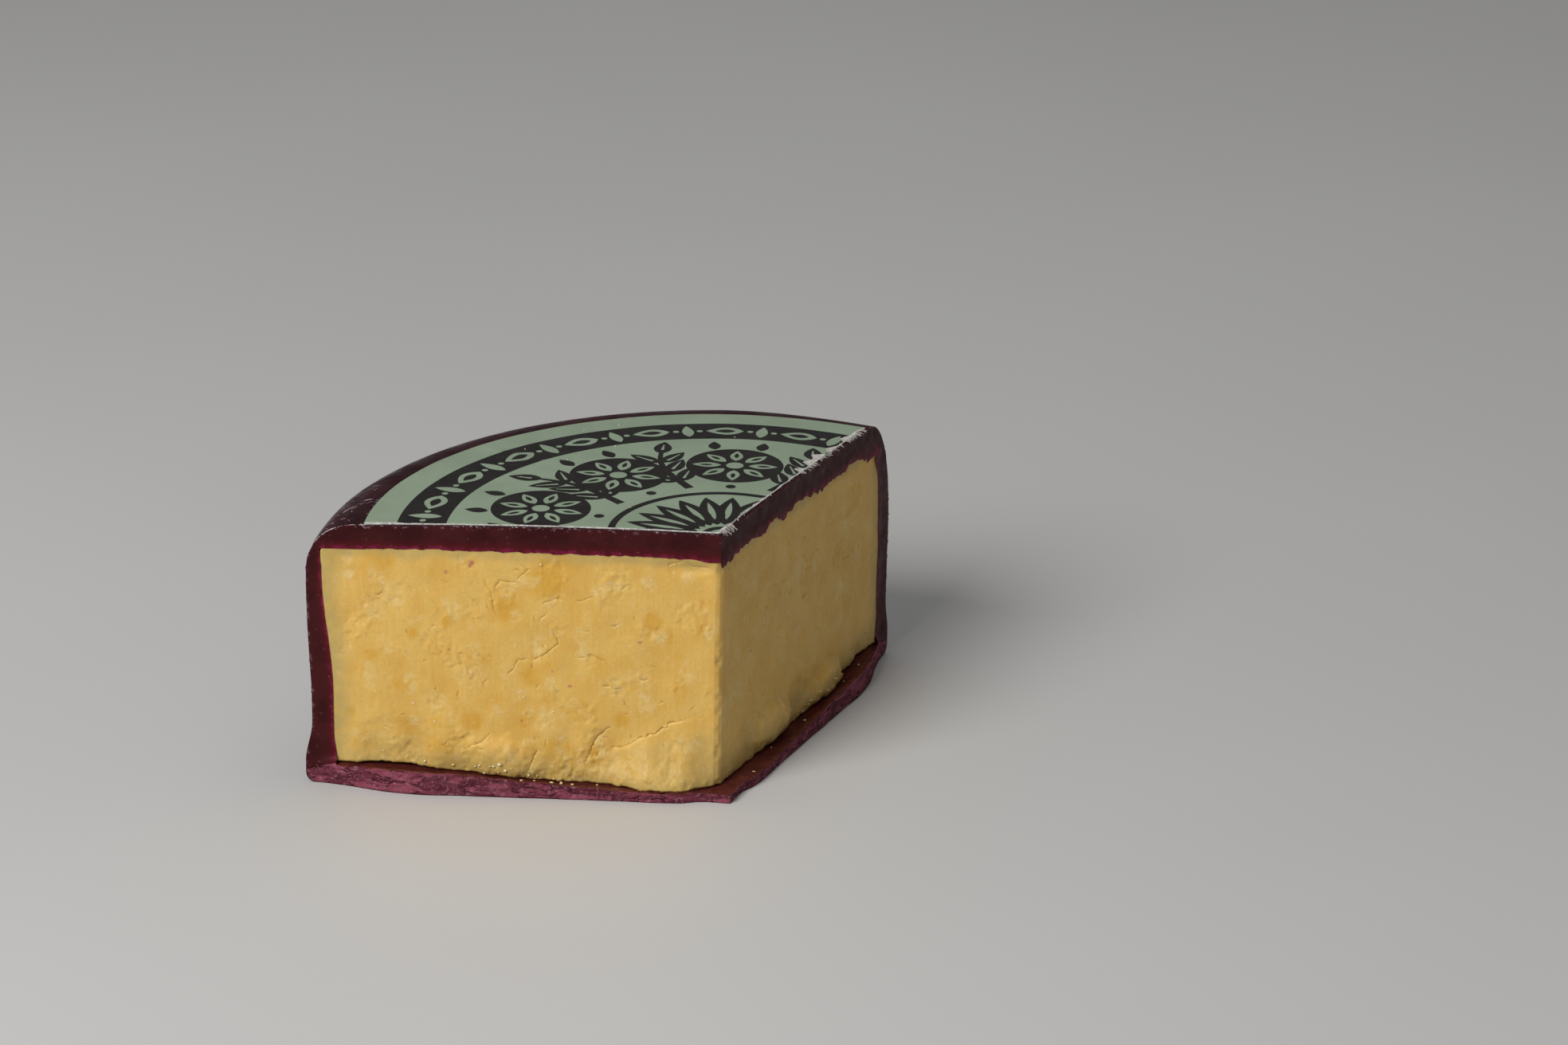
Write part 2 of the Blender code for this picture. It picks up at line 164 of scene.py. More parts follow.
def cleanMesh(piece, merged=0.0, dissolved=0.0):
    # merges doubled points, drops faces without area and turns all the others outwards
    body = bmesh.new()
    body.from_mesh(piece.data)
    if merged > 0.0:
        bmesh.ops.remove_doubles(body, verts=body.verts, dist=merged * mm)
    if dissolved > 0.0:
        bmesh.ops.dissolve_degenerate(body, dist=dissolved * mm, edges=body.edges)
    bmesh.ops.recalc_face_normals(body, faces=body.faces)
    body.to_mesh(piece.data)
    body.free()


def linear(code):
    # an sRGB hex value as the linear colour that a shader takes
    parts = [int(code[k:k + 2], 16) / 255.0 for k in (0, 2, 4)]
    return [p / 12.92 if p <= 0.04045 else ((p + 0.055) / 1.055) ** 2.4 for p in parts] + [1.0]


def add(tree, kind, result, settings=None, values=None, links=None):
    # one node with its settings, fixed inputs and linked inputs; gives back one of its outputs
    node = tree.nodes.new("ShaderNode" + kind)
    for key, value in (settings or {}).items():
        setattr(node, key, value)
    for key, value in (values or {}).items():
        node.inputs[key].default_value = value
    for key, output in (links or {}).items():
        tree.links.new(output, node.inputs[key])
    return node.outputs[result]


class Finish:
    # a material built up in layers, with sizes in millimetres and colours as hex codes

    def __init__(self, name, values):
        self.material = bpy.data.materials.new(name)
        self.material.use_nodes = True
        self.tree = self.material.node_tree
        self.shader = self.tree.nodes["Principled BSDF"]
        for key, value in values.items():
            self.shader.inputs[key].default_value = value
        self.place = add(self.tree, "TexCoord", "Object")

    def mark(self, name):
        return add(self.tree, "Attribute", "Fac", {"attribute_name": name})

    def grains(self, size, detail=3.0, roughness=0.55, place=None):
        # noise whose lumps measure this many millimetres, from 0 to 1
        values = {"Scale": 1000.0 / size, "Detail": detail, "Roughness": roughness}
        links = {"Vector": self.place if place is None else place}
        return add(self.tree, "TexNoise", "Fac", {"noise_dimensions": "3D"}, values, links)

    def spread(self, value, low, high, least=0.0, most=1.0):
        # stretches a value between two bounds onto another range, smoothly
        settings = {"interpolation_type": "SMOOTHSTEP", "clamp": True}
        values = {"From Min": low, "From Max": high, "To Min": least, "To Max": most}
        return add(self.tree, "MapRange", "Result", settings, values, {"Value": value})

    def patches(self, size, low, high, detail=3.0, roughness=0.55, least=0.0, most=1.0, place=None):
        return self.spread(self.grains(size, detail, roughness, place), low, high, least, most)

    def maths(self, operation, first, second=0.0):
        # second is a number or an output
        values = {1: second} if isinstance(second, float) else None
        links = {0: first} if values else {0: first, 1: second}
        return add(self.tree, "Math", "Value", {"operation": operation}, values, links)

    def times(self, first, second):
        return self.maths("MULTIPLY", first, second)

    def lines(self, value, width):
        # bent lines where a soft noise passes its middle value
        away = self.maths("ABSOLUTE", self.maths("SUBTRACT", value, 0.5))
        return self.spread(away, 0.0, width, 1.0, 0.0)

    def stretched(self, scale):
        return add(self.tree, "VectorMath", "Vector", {"operation": "MULTIPLY"}, {1: scale}, {0: self.place})

    def ground(self, share, first, second):
        # two colours mixed by the share
        values = {6: linear(first), 7: linear(second)}
        self.colour = add(self.tree, "Mix", 2, {"data_type": "RGBA"}, values, {0: share})

    def tint(self, share, strength, code):
        # one more colour over those before it
        links = {0: self.times(share, strength), 6: self.colour}
        self.colour = add(self.tree, "Mix", 2, {"data_type": "RGBA"}, {7: linear(code)}, links)

    def done(self, layers, rough=None):
        # layers are (height output, depth in millimetres), laid over each other as bumps
        self.tree.links.new(self.colour, self.shader.inputs["Base Color"])
        if rough is not None:
            self.tree.links.new(rough, self.shader.inputs["Roughness"])
        links = {}
        for height, depth in layers:
            links["Height"] = height
            values = {"Strength": 1.0, "Distance": depth * mm}
            links["Normal"] = add(self.tree, "Bump", "Normal", None, values, links)
        if layers:
            self.tree.links.new(links["Normal"], self.shader.inputs["Normal"])
        return self.material


# Cheese
cheese = {
    "grain": 0.45,          # spacing of the points on the cut faces
    "rimColumns": 60,
    "apexWear": 0.3,
    "apexReach": 1.5,
    "craggyHeight": 15.0,   # the foot of the cuts broke instead of cutting
    "footGap": 0.6,         # the cheese lifts off the wax near the rim
    "footRagged": 0.3,
    "crumbled": 0.27,       # depth of the shallow broken patches
    "frontTears": 44,
    "sideTears": 56,
    "longTears": 14,
    "seed": 11,
    "frontSeed": 200.0,
    "sideSeed": 31000.0,
    "frontMarks": 7.0,
    "sideMarks": 77.0,
}
faceWidth = wheel["cheeseRadius"]
faceHeight = 59.0

# Where the cuts broke: place along the cut and height, reach each way, how far out
breaks = {
    "front": [
        (52.0, 8.5, 12.0, 7.0, 0.9), (28.5, 10.5, 7.0, 7.0, -0.9),
        (8.0, 60.5, 8.0, 3.5, -0.6), (79.0, 12.0, 12.0, 8.0, -0.5),
    ],
    "side": [
        (30.0, 8.0, 14.0, 7.0, 1.8), (62.0, 7.0, 12.0, 6.0, 2.0),
        (46.0, 10.0, 8.0, 6.0, -1.3), (75.0, 52.0, 10.0, 5.0, -0.7),
    ],
}
plate = {"reach": 33.0, "step": 0.3, "out": 1.1, "bulge": 3.4, "facets": 0.3}

# The broken plate's upper edge, where a crack parts it from the cut: along and height
plateEdge = [(0.0, 20.6), (8.8, 19.7), (12.3, 18.7), (15.7, 16.2), (20.0, 14.4), (22.8, 12.4), (33.0, 7.0)]

# Fine cracks of the front cut: width, depth, then points along it as (along, height)
frontCracks = [
    (0.2, 0.2, [(54.6, 53.3), (53.4, 55.0), (51.6, 54.7), (49.5, 55.1)]),
    (0.16, 0.14, [(49.1, 55.4), (48.0, 56.9), (46.4, 57.9)]),
    (0.16, 0.14, [(57.3, 55.1), (55.5, 51.6), (55.1, 48.5), (54.6, 46.4)]),
    (0.16, 0.14, [(43.4, 49.3), (41.2, 50.3), (38.5, 50.7)]),
    (0.26, 0.28, [(45.0, 34.6), (42.3, 36.4), (39.5, 39.0), (40.1, 41.7)]),
    (0.24, 0.24, [(51.2, 30.8), (49.9, 32.9), (49.3, 34.5), (47.3, 34.6)]),
    (0.16, 0.12, [(34.7, 50.3), (32.9, 50.7), (30.8, 51.8)]),
    (0.2, 0.2, [(34.1, 35.4), (30.8, 36.4), (27.9, 34.8)]),
    (0.24, 0.24, [(28.8, 27.8), (26.9, 28.5), (25.4, 27.4), (24.0, 27.6)]),
    (0.2, 0.18, [(20.1, 30.7), (18.6, 30.2), (17.2, 30.4)]),
    (0.4, 0.4, [(26.9, 17.1), (29.8, 14.7), (31.0, 12.6), (31.7, 10.5), (32.7, 7.5)]),
    (0.3, 0.2, [(62.1, 10.3), (60.7, 11.6), (58.2, 12.6), (56.4, 14.6)]),
    (0.3, 0.3, [(46.6, 5.5), (45.9, 7.7), (44.5, 10.9)]),
    (0.25, 0.25, [(12.6, 60.3), (9.1, 61.9), (7.6, 60.5), (2.9, 59.6)]),
    (0.35, 0.55, [(24.5, 11.6), (22.8, 12.5), (20.0, 14.5), (15.7, 16.3), (12.3, 18.8), (8.8, 19.8)]),
]

# Shallow patches of broken curd, translucent deeper-yellow curd (the two big spots low at along 39.6 and
# 30.8 also paint the shade in the broken hollows there), pale dry seams and wax flecks on the front cut:
# (along, height, radius)
crumbledSpots = [
    (61.0, 30.5, 3.6), (25.9, 28.1, 4.2), (20.1, 30.9, 3.0), (85.0, 47.5, 4.2), (80.1, 50.8, 3.4),
    (39.5, 42.8, 2.8), (51.1, 51.8, 2.4), (83.9, 55.8, 2.4), (70.0, 22.0, 3.6), (44.0, 19.0, 4.4),
]
shadedDeepSpots = [
    (82.9, 60.0, 4.5), (60.1, 17.8, 3.2), (51.1, 47.6, 4.5), (41.4, 55.2, 5.5), (46.4, 30.0, 3.2),
    (58.0, 34.2, 2.2), (47.4, 18.3, 2.6), (92.0, 35.7, 1.6), (85.2, 34.5, 1.8), (74.8, 40.5, 1.8),
    (77.6, 26.7, 2.2), (90.4, 19.3, 1.6), (39.5, 61.5, 6.0), (16.3, 45.7, 2.6), (12.4, 41.6, 2.0),
    (70.0, 8.9, 4.5), (39.6, 7.9, 6.0), (30.8, 8.2, 3.2), (24.0, 19.1, 2.2), (66.5, 44.0, 2.0),
]
paleSpots = [
    (63.3, 28.3, 1.1), (52.2, 29.7, 0.8), (59.4, 32.7, 0.9), (82.0, 54.4, 1.3), (78.2, 48.8, 2.2),
    (83.1, 45.5, 2.0), (80.3, 36.8, 2.0), (93.1, 30.4, 1.8), (54.2, 21.2, 1.8), (49.3, 25.6, 1.8),
    (38.6, 19.7, 1.0), (38.6, 14.3, 1.3), (29.9, 53.5, 2.0), (14.4, 41.6, 2.2), (8.5, 31.3, 2.4),
    (64.1, 7.7, 1.0), (67.0, 9.0, 1.2), (51.3, 8.5, 1.4), (74.8, 17.3, 1.8), (90.3, 55.6, 1.6),
]
waxFlecks = [
    (60.3, 59.5, 0.75), (60.7, 58.6, 0.55), (66.5, 56.8, 0.45), (19.6, 40.1, 0.5), (36.6, 27.8, 0.4),
    (40.9, 31.6, 0.3), (45.8, 32.7, 0.3), (66.1, 36.6, 0.3), (48.4, 18.2, 0.4),
]


def nearSpots(along, height, spots, seed):
    # 1 inside any of the spots, fading over their ragged edges
    most = 0.0
    for x, y, radius in spots:
        away = math.hypot(along - x, height - y) / radius
        if away < 2.2:
            away += 0.35 * lumps(along, height, seed, radius * 0.8)
            most = max(most, ease(away, 1.25, 0.35))
    return most


def chips(along, height, size, seed):
    # flat broken facets: each cell of the pattern is set in or out and tilted its own way
    warp = 0.5 * noise.noise(Vector((along, height, seed)) / (size * 1.3))
    spot = Vector((along / size + warp, height / size - warp, seed))
    centre = noise.voronoi(spot)[1][0]
    lift = noise.noise(centre * 3.7)
    lean = Vector((noise.noise(centre * 5.1), noise.noise(centre * 6.3), 0.0))
    return lift + 1.6 * (spot - centre).dot(lean)


def breaksAt(along, height, cut):
    # broken places keep their size but get a ragged, steeper edge
    seed = cheese[cut + "Seed"]
    total = 0.0
    for middle, level, length, rise, out in breaks[cut]:
        reach = math.hypot((along - middle) / length, (height - level) / rise)
        if reach < 1.6:
            reach += 0.16 * lumps(along, height, seed, 3.5) + 0.08 * lumps(along, height, seed + 40.0, 1.4)
            total += out * ease(reach, 0.98, 0.42)
    return total


def plateAt(along, height):
    # a small step at the crack, then the plate swells out below it
    line = float(np.interp(along, *zip(*plateEdge))) + 0.3 * lumps(along, 10.0, 3.0, 1.7)
    here = ease(along, plate["reach"], 25.0)
    step = plate["step"] * ease(height, line + 0.2, line - 0.2)
    swell = plate["out"] * ease(height, line, line - 12.0)
    bulge = plate["bulge"] * ease(along, 28.0, 17.0) * ease(height, 15.0, 2.5)
    facets = plate["facets"] * ease(height, line, line - 3.0)
    if facets * here > 0.0:
        facets *= chips(along, height * 0.7, 6.5, 44.0) + 0.4 * chips(along, height, 2.6, 48.0)
    return (step + swell + bulge + facets) * here


def craggy(along, height, seed):
    # how broken the cut is here: strongly in a ragged band along the foot
    edge = cheese["craggyHeight"] * (0.55 + 0.7 * lumps(along, 5.0, seed, 11.0))
    band = ease(height, edge + 1.0, edge - 2.0) * ease(along, 74.0, 62.0)
    foot = 0.5 * ease(height, 10.0, 7.0)
    return max(band * (0.5 + 0.5 * ease(lumps(along, height, seed, 5.0), -0.1, 0.25)), foot)


def crumbled(along, height, spots, seed):
    # where the knife pulled small scales of curd out, in patches
    share = ease(lumps(along, height, seed + 300.0, 9.0), 0.15, 0.32)
    share = max(share, nearSpots(along, height, spots, seed)) * ease(along, 0.0, 5.0)
    if share == 0.0:
        return 0.0
    scales = chips(along, height, 1.7, seed + 20.0) + 0.5 * chips(along, height, 0.8, seed + 30.0)
    return cheese["crumbled"] * share * scales


def cutRelief(cut, along, height):
    # how far a cut face stands out of its plane
    seed = cheese[cut + "Seed"]
    wide = 0.45 * lumps(along, height, seed, 24.0) + 0.3 * lumps(along, height, seed + 5000.0, 8.0)
    foot = 0.8 * ease(height, 24.0, 9.0) * lumps(along, height * 0.6, seed + 9200.0, 7.0)
    out = wide + foot + breaksAt(along, height, cut)
    rough = craggy(along, height, seed)
    if rough > 0.0:
        # the curd tears in upright flakes
        out += rough * 0.3 * chips(along, height * 0.6, 2.4, seed)
        out += rough * 0.2 * chips(along, height * 0.75, 1.1, seed + 9.0)
    pits = ease(lumps(along, height, seed + 70.0, 1.4), 0.45, 0.62)
    fine = 0.04 * lumps(along, height, seed, 1.7) + 0.03 * lumps(along, height, seed + 20.0, 0.8)
    out += fine - 0.12 * pits
    spots = crumbledSpots if cut == "front" else []
    out = out * ease(along, 0.0, 5.0) + crumbled(along, height, spots, seed)
    if cut == "front":
        out += plateAt(along, height) * ease(along, 0.0, 10.0)
    return out


def cheeseLow(radius):
    gap = cheese["footGap"] * ease(radius, 66.0, 79.0) * (1.0 - 0.5 * ease(radius, 84.0, 92.0))
    ragged = lumps(radius, 3.0, 1.0, 2.6) + 0.7 * lumps(radius, 3.0, 1.0, 1.1)
    gap += cheese["footRagged"] * (ragged + 0.2) * ease(radius, 93.0, 90.0)
    return cavityBase(radius) + wheel["clearance"] + gap


def cheeseHeight(radius, angle, share):
    low = cheeseLow(radius)
    return low + (cavityTop(radius, angle) - wheel["clearance"] - low) * share


def cheeseRadius(height, angle):
    radius = cavityRadius(height, angle) - wheel["clearance"]
    top = cavityTop(wheel["cheeseRadius"], angle) - wheel["clearance"]
    rise = min(height - (top - wheel["cheeseCorner"]), wheel["cheeseCorner"])
    if rise <= 0.0:
        return radius
    return radius - wheel["cheeseCorner"] + math.sqrt(wheel["cheeseCorner"] ** 2 - rise ** 2)


def apexWear(height):
    # how much of the corner between the cuts has crumbled away
    coarse = 0.7 * max(0.0, lumps(height, 0.0, 5.0, 3.1))
    return cheese["apexWear"] + coarse + 0.3 * abs(lumps(height, 9.0, 5.0, 1.0))


def cutSpot(cut, run, share, depth=0.0):
    # a spot in a cut's flat pattern as its real place, with its place along the cut and height;
    # it is drawn in near the corner so that both cuts still meet there
    angle, alongWay, outWay = cuts[cut]
    height = cheeseHeight(wheel["cheeseRadius"] * run, angle, share)
    along = run * cheeseRadius(height, angle)
    out = (cutRelief(cut, along, height) - depth) * (ease(share, 1.0, 0.95) * ease(run, 1.0, 0.95))
    wear = apexWear(height) * ease(along, cheese["apexReach"], 0.0)
    slide = wear * math.tan(0.5 * (math.pi - wheel["frontCut"] + wheel["sideCut"]))
    spot = alongWay * (along + slide) + outWay * (out - wear)
    return Vector((spot.x, spot.y, height)), along, height


def ontoFace(along, height, angle):
    # the place (x, y) in the flat pattern of a cut face for a real place on it
    run = along / cheeseRadius(height, angle)
    low = cheeseHeight(wheel["cheeseRadius"] * run, angle, 0.0)
    high = cheeseHeight(wheel["cheeseRadius"] * run, angle, 1.0)
    return run * faceWidth, (height - low) / (high - low) * faceHeight


def evenLine(line, step):
    # points every step along a line, each with the direction there
    points = []
    for (x0, y0), (x1, y1) in zip(line, line[1:]):
        length = math.hypot(x1 - x0, y1 - y0)
        count = max(1, round(length / step))
        way = ((x1 - x0) / length, (y1 - y0) / length)
        for k in range(count):
            points.append((x0 + (x1 - x0) * (k / count), y0 + (y1 - y0) * (k / count), way))
    return points


def crackPoints(cracks, angle):
    # three rows of points for each crack, so that its groove has its true width
    middles = []
    sides = []
    for width, depth, line in cracks:
        points = evenLine(line, 0.26)
        for k, (x, y, way) in enumerate(points):
            taper = 0.25 + 0.75 * math.sin(math.pi * (k + 0.5) / len(points))
            taper *= 0.45 + 0.55 * ease(lumps(x, y, 33.0, 1.5), -0.25, 0.2)
            half = 0.5 * width * taper
            shifts = [0.5 * lumps(x, y, seed, 1.9) + 0.2 * lumps(x, y, seed, 0.6) for seed in (5.0, 15.0)]
            x += shifts[0]
            y += shifts[1]
            middles.append((*ontoFace(x, y, angle), depth * taper))
            sides.append((*ontoFace(x - way[1] * half, y + way[0] * half, angle), 0.0))
            sides.append((*ontoFace(x + way[1] * half, y - way[0] * half, angle), 0.0))
    return middles, sides


def facePattern(cracks, angle, draw):
    # the flat pattern of a cut face: an even rim, scattered points inside and the cracks' rows
    columns = round(faceWidth / cheese["grain"])
    rows = round(faceHeight / cheese["grain"])
    middles, sides = crackPoints(cracks, angle)
    taken = np.array(middles)
    points = []
    for j in range(rows + 1):
        for i in range(columns + 1):
            x = faceWidth * i / columns
            y = faceHeight * j / rows
            if 0 < i < columns and 0 < j < rows:
                x += draw.uniform(-0.22, 0.22) * cheese["grain"]
                y += draw.uniform(-0.22, 0.22) * cheese["grain"]
                if np.min(np.hypot(taken[:, 0] - x, taken[:, 1] - y)) < 0.42:
                    continue
            points.append((x, y, 0.0))
    points += middles + sides
    places = [Vector(point[:2]) for point in points]
    flat, edges, faces, origin, a, b = geometry.delaunay_2d_cdt(places, [], [], 0, 1e-7, True)
    return flat, faces, [max((points[k][2] for k in found), default=0.0) for found in origin]


def tears(count, step, draw):
    # small cracks where the knife dragged the curd, wandering mostly level
    made = []
    for k in range(count):
        x = draw.uniform(5.0, 88.0)
        y = draw.uniform(10.0, 59.0)
        line = [(x, y)]
        heading = draw.uniform(-1.1, 1.1)
        for turn in range(draw.randint(1, 3)):
            heading += draw.uniform(-0.9, 0.9)
            x += step * math.cos(heading)
            y += step * math.sin(heading)
            line.append((x, y))
        size = min(1.0, 0.5 + 0.25 * step) * draw.uniform(0.5, 1.1)
        made.append((0.22 * size, 0.2 * size, line))
    return made


def curdMarks(cut, along, height, depth):
    # deep yellow, pale, wax-stained, rim bloom and crack shade shares for a place on a cut; the deep share
    # also paints shade in two broken hollows at the front foot, and the rim share paints shade over the
    # front's broken plate
    seed = cheese[cut + "Marks"]
    deep = 0.5 * ease(lumps(along, height, seed, 6.5), 0.25, 0.55)
    pale = 0.8 * ease(lumps(along, height, seed + 30.0, 5.2), 0.22, 0.5)
    pale = max(pale, 0.8 * craggy(along, height, cheese[cut + "Seed"]))
    stain = 0.0
    toRim = cheeseRadius(height, cuts[cut][0]) - along + 1.2 * lumps(along, height, seed, 6.0)
    toTop = cavityTop(along, cuts[cut][0]) - height + 0.9 * lumps(along, height, seed + 3.0, 4.0)
    toFoot = height - cheeseLow(along) + 1.5 * lumps(along, height, seed + 6.0, 7.0)
    rim = max(ease(toRim, 6.0, 1.6), 0.9 * ease(toTop, 4.2, 1.5), 0.6 * ease(toFoot, 9.0, 2.0))
    if cut == "front":
        # the spots low in the broken hollows at the foot paint their shade as deep yellow
        deep = max(deep, nearSpots(along, height, shadedDeepSpots, seed))
        pale = max(pale, nearSpots(along, height, paleSpots, seed))
        pale = max(pale, 0.6 * nearSpots(along, height, crumbledSpots, cheese["frontSeed"]))
        stain = nearSpots(along, height, waxFlecks, seed)
        # painted shade: the rim bloom share is also laid over the broken plate's swell to darken it
        rim = max(rim, 0.5 * ease(plateAt(along, height), 0.2, 0.9))
    return deep, pale, stain, rim, min(1.0, depth / 0.3)


def closeCheese(spots, faces):
    # the rim wall between the cuts, the top and the underside, all inside the wax
    rows = round(faceHeight / cheese["grain"])
    columns = round(faceWidth / cheese["grain"])
    wall = []
    for j in range(rows + 1):
        wall.append(range(len(spots), len(spots) + cheese["rimColumns"] + 1))
        for angle in between(wheel["frontCut"], wheel["sideCut"], cheese["rimColumns"]):
            height = cheeseHeight(wheel["cheeseRadius"], angle, j / rows)
            radius = cheeseRadius(height, angle)
            spots.append((radius * math.cos(angle), radius * math.sin(angle), height))
    for lower, upper in zip(wall, wall[1:]):
        for i in range(cheese["rimColumns"]):
            faces.append([lower[i], upper[i], upper[i + 1], lower[i + 1]])
    turn = (wheel["frontCut"] + wheel["sideCut"]) / 2.0
    middle = Vector((math.cos(turn), math.sin(turn), 0.0)) * 0.55 * wheel["cheeseRadius"]
    for share, wallRow in ((0.0, wall[0]), (1.0, wall[-1])):
        outline = [cutSpot("front", i / columns, share)[0] for i in range(columns, -1, -1)]
        outline += [cutSpot("side", i / columns, share)[0] for i in range(1, columns + 1)]
        outline += [Vector(spots[k]) for k in wallRow[-2:0:-1]]
        rings = []
        for ring in range(4):
            rings.append(range(len(spots), len(spots) + len(outline)))
            for corner in outline:
                spot = corner.lerp(middle, ring / 4.0)
                if ring > 0:
                    spot.z = cheeseHeight(spot.to_2d().length, math.atan2(spot.y, spot.x), share)
                spots.append(tuple(spot))
        middle.z = cheeseHeight(middle.to_2d().length, turn, share)
        spots.append(tuple(middle))
        for k in range(len(outline)):
            n = (k + 1) % len(outline)
            for outer, inner in zip(rings, rings[1:]):
                faces.append([outer[k], outer[n], inner[n], inner[k]])
            faces.append([rings[-1][k], rings[-1][n], len(spots) - 1])


def buildCheese():
    draw = random.Random(cheese["seed"])
    spots = []
    faces = []
    marks = []
    cracks = {"front": frontCracks + tears(cheese["frontTears"], 0.7, draw)}
    cracks["side"] = tears(cheese["longTears"], 2.0, draw) + tears(cheese["sideTears"], 0.7, draw)
    for cut in cuts:
        flat, triangles, depths = facePattern(cracks[cut], cuts[cut][0], draw)
        start = len(spots)
        for place, depth in zip(flat, depths):
            run, share = (min(1.0, max(0.0, part)) for part in (place.x / faceWidth, place.y / faceHeight))
            spot, along, height = cutSpot(cut, run, share, depth)
            spots.append(tuple(spot))
            marks.append(curdMarks(cut, along, height, depth))
        for corners in triangles:
            faces.append([start + k for k in (corners if cut == "front" else reversed(corners))])
    closeCheese(spots, faces)
    marks += [(0.0, 0.0, 0.0, 1.0, 0.0)] * (len(spots) - len(marks))
    piece = newPiece("cheddarBody", spots, faces, [matureCheddar()], sharpAngle=75.0)
    markPoints(piece, ("deepCurdAndShade", "paleCurd", "waxStain", "rimBloomAndShade", "crackShade"), marks)
    cleanMesh(piece, merged=0.004)
    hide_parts("cheese")


def matureCheddar():
    # mature cheddar, sliced with a knife: dense fine-grained curd, moist and faintly translucent,
    # so light bleeds a little into thin edges and the gloss is soft
    finish = Finish("knifeCutMatureCheddar", {
        "Roughness": 0.48,
        "IOR": 1.44,
        "Subsurface Weight": 0.35,
        "Subsurface Radius": (1.0, 0.5, 0.2),
        "Subsurface Scale": 0.003,
    })
    finish.ground(finish.patches(9.0, 0.35, 0.68), "E5BC63", "DFB154")
    # deep yellow curd, which also stands in for the shade in two broken hollows at the front foot
    finish.tint(finish.mark("deepCurdAndShade"), 0.9, "DBA73A")
    pale = finish.mark("paleCurd")
    veins = finish.times(finish.lines(finish.grains(3.2, 3.0, 0.6), 0.02), pale)
    finish.tint(finish.times(pale, finish.patches(2.0, 0.4, 0.6, 4.0, 0.65)), 0.5, "EBD596")
    finish.tint(veins, 0.35, "F0E0B4")
    finish.tint(finish.patches(0.8, 0.42, 0.66, 3.0, 0.65), 0.2, "CC9C42")
    finish.tint(finish.patches(1.1, 0.62, 0.72, 3.0, 0.65), 0.35, "F0DDAA")
    # faint upright drag marks left by the knife
    drag = finish.patches(0.9, 0.4, 0.7, 2.0, place=finish.stretched((1.0, 1.0, 0.07)))
    finish.tint(drag, 0.08, "F2DDA6")
    # grey-green bloom near the rim, top and foot, and painted shade over the broken plate
    rimTintAndShade = finish.times(finish.mark("rimBloomAndShade"), finish.patches(3.0, 0.35, 0.6, 4.0, least=0.55))
    finish.tint(rimTintAndShade, 0.92, "C2A864")
    finish.tint(finish.mark("crackShade"), 0.4, "B08238")
    finish.tint(finish.mark("waxStain"), 0.75, "A4485A")
    layers = [(finish.grains(2.2, 5.0, 0.65), 0.13), (finish.grains(0.6, 3.0, 0.6), 0.05)]
    layers += [(veins, 0.04), (drag, 0.012)]
    return finish.done(layers, finish.patches(2.0, 0.3, 0.7, least=0.42, most=0.6))


# Wax coat
waxCoat = {
    "shoulderDrop": 13.3,
    "sideShoulderDrop": 30.0,
    "squareness": 2.15,
    "frontSquareness": 2.4,
    "footHeight": 14.0,
    "footFlare": 1.8,
    "footCorner": 2.6,
    "wallPinch": 0.6,
    "unevenness": 0.35,
    "dents": 0.09,
    "topSteps": 190,
    "shoulderSteps": 36,
    "wallSteps": 40,
    "footSteps": 20,
    "cornerSteps": 5,
    "baseSteps": 250,
    "acrossSteps": 16,
    "edgeRound": 0.35,     # the knife leaves the coat's outer edge slightly round
    "frontSmear": 0.55,    # how far wax is dragged over the cheese at the front cut
    "sideSmear": 3.4,
    "widestStep": 1.6,     # degrees between the skin's rows
    "innerStep": 24.0,
    "frontSeed": 2.0,
    "sideSeed": 12.0,
}
ledge = {
    "depth": 5.5,
    "top": 7.2,
    "start": 101.0,
    "full": 74.0,
    "roundCorner": 9.0,
    "wave": 0.08,
    "mitre": 0.5,
    "torn": 0.5,           # roughness of the torn face
    # how high the torn edge stands over the wax behind it, as (radius, height)
    "lip": [
        (0.0, 0.2), (10.0, 0.3), (20.0, 0.4), (27.0, 0.9), (39.0, 1.6), (58.0, 1.8), (68.0, 1.5),
        (78.0, 1.0), (86.0, 0.3), (93.0, -0.2),
    ],
}


def wallRadius(height, angle):
    radius = wheel["wallRadius"] + wheel["sideSwell"] * sideShare(angle)
    radius -= waxCoat["wallPinch"] * ease(height, 45.0, 18.0)
    return radius + waxCoat["footFlare"] * ease(height, 16.0, 6.0)


def shoulderDrop(angle):
    more = waxCoat["sideShoulderDrop"] - waxCoat["shoulderDrop"]
    return waxCoat["shoulderDrop"] + more * sideShare(angle)


def quarter(middle, reach, drop, squareness, steps):
    points = []
    for i in range(steps + 1):
        turn = 0.5 * math.pi * i / steps
        across = math.sin(turn) ** (2.0 / squareness)
        up = max(0.0, math.cos(turn)) ** (2.0 / squareness)
        points.append((middle[0] + reach * across, middle[1] + drop * up))
    return points


def footHeights(last):
    return between(waxCoat["footHeight"], last, waxCoat["footSteps"] - waxCoat["cornerSteps"])[1:]


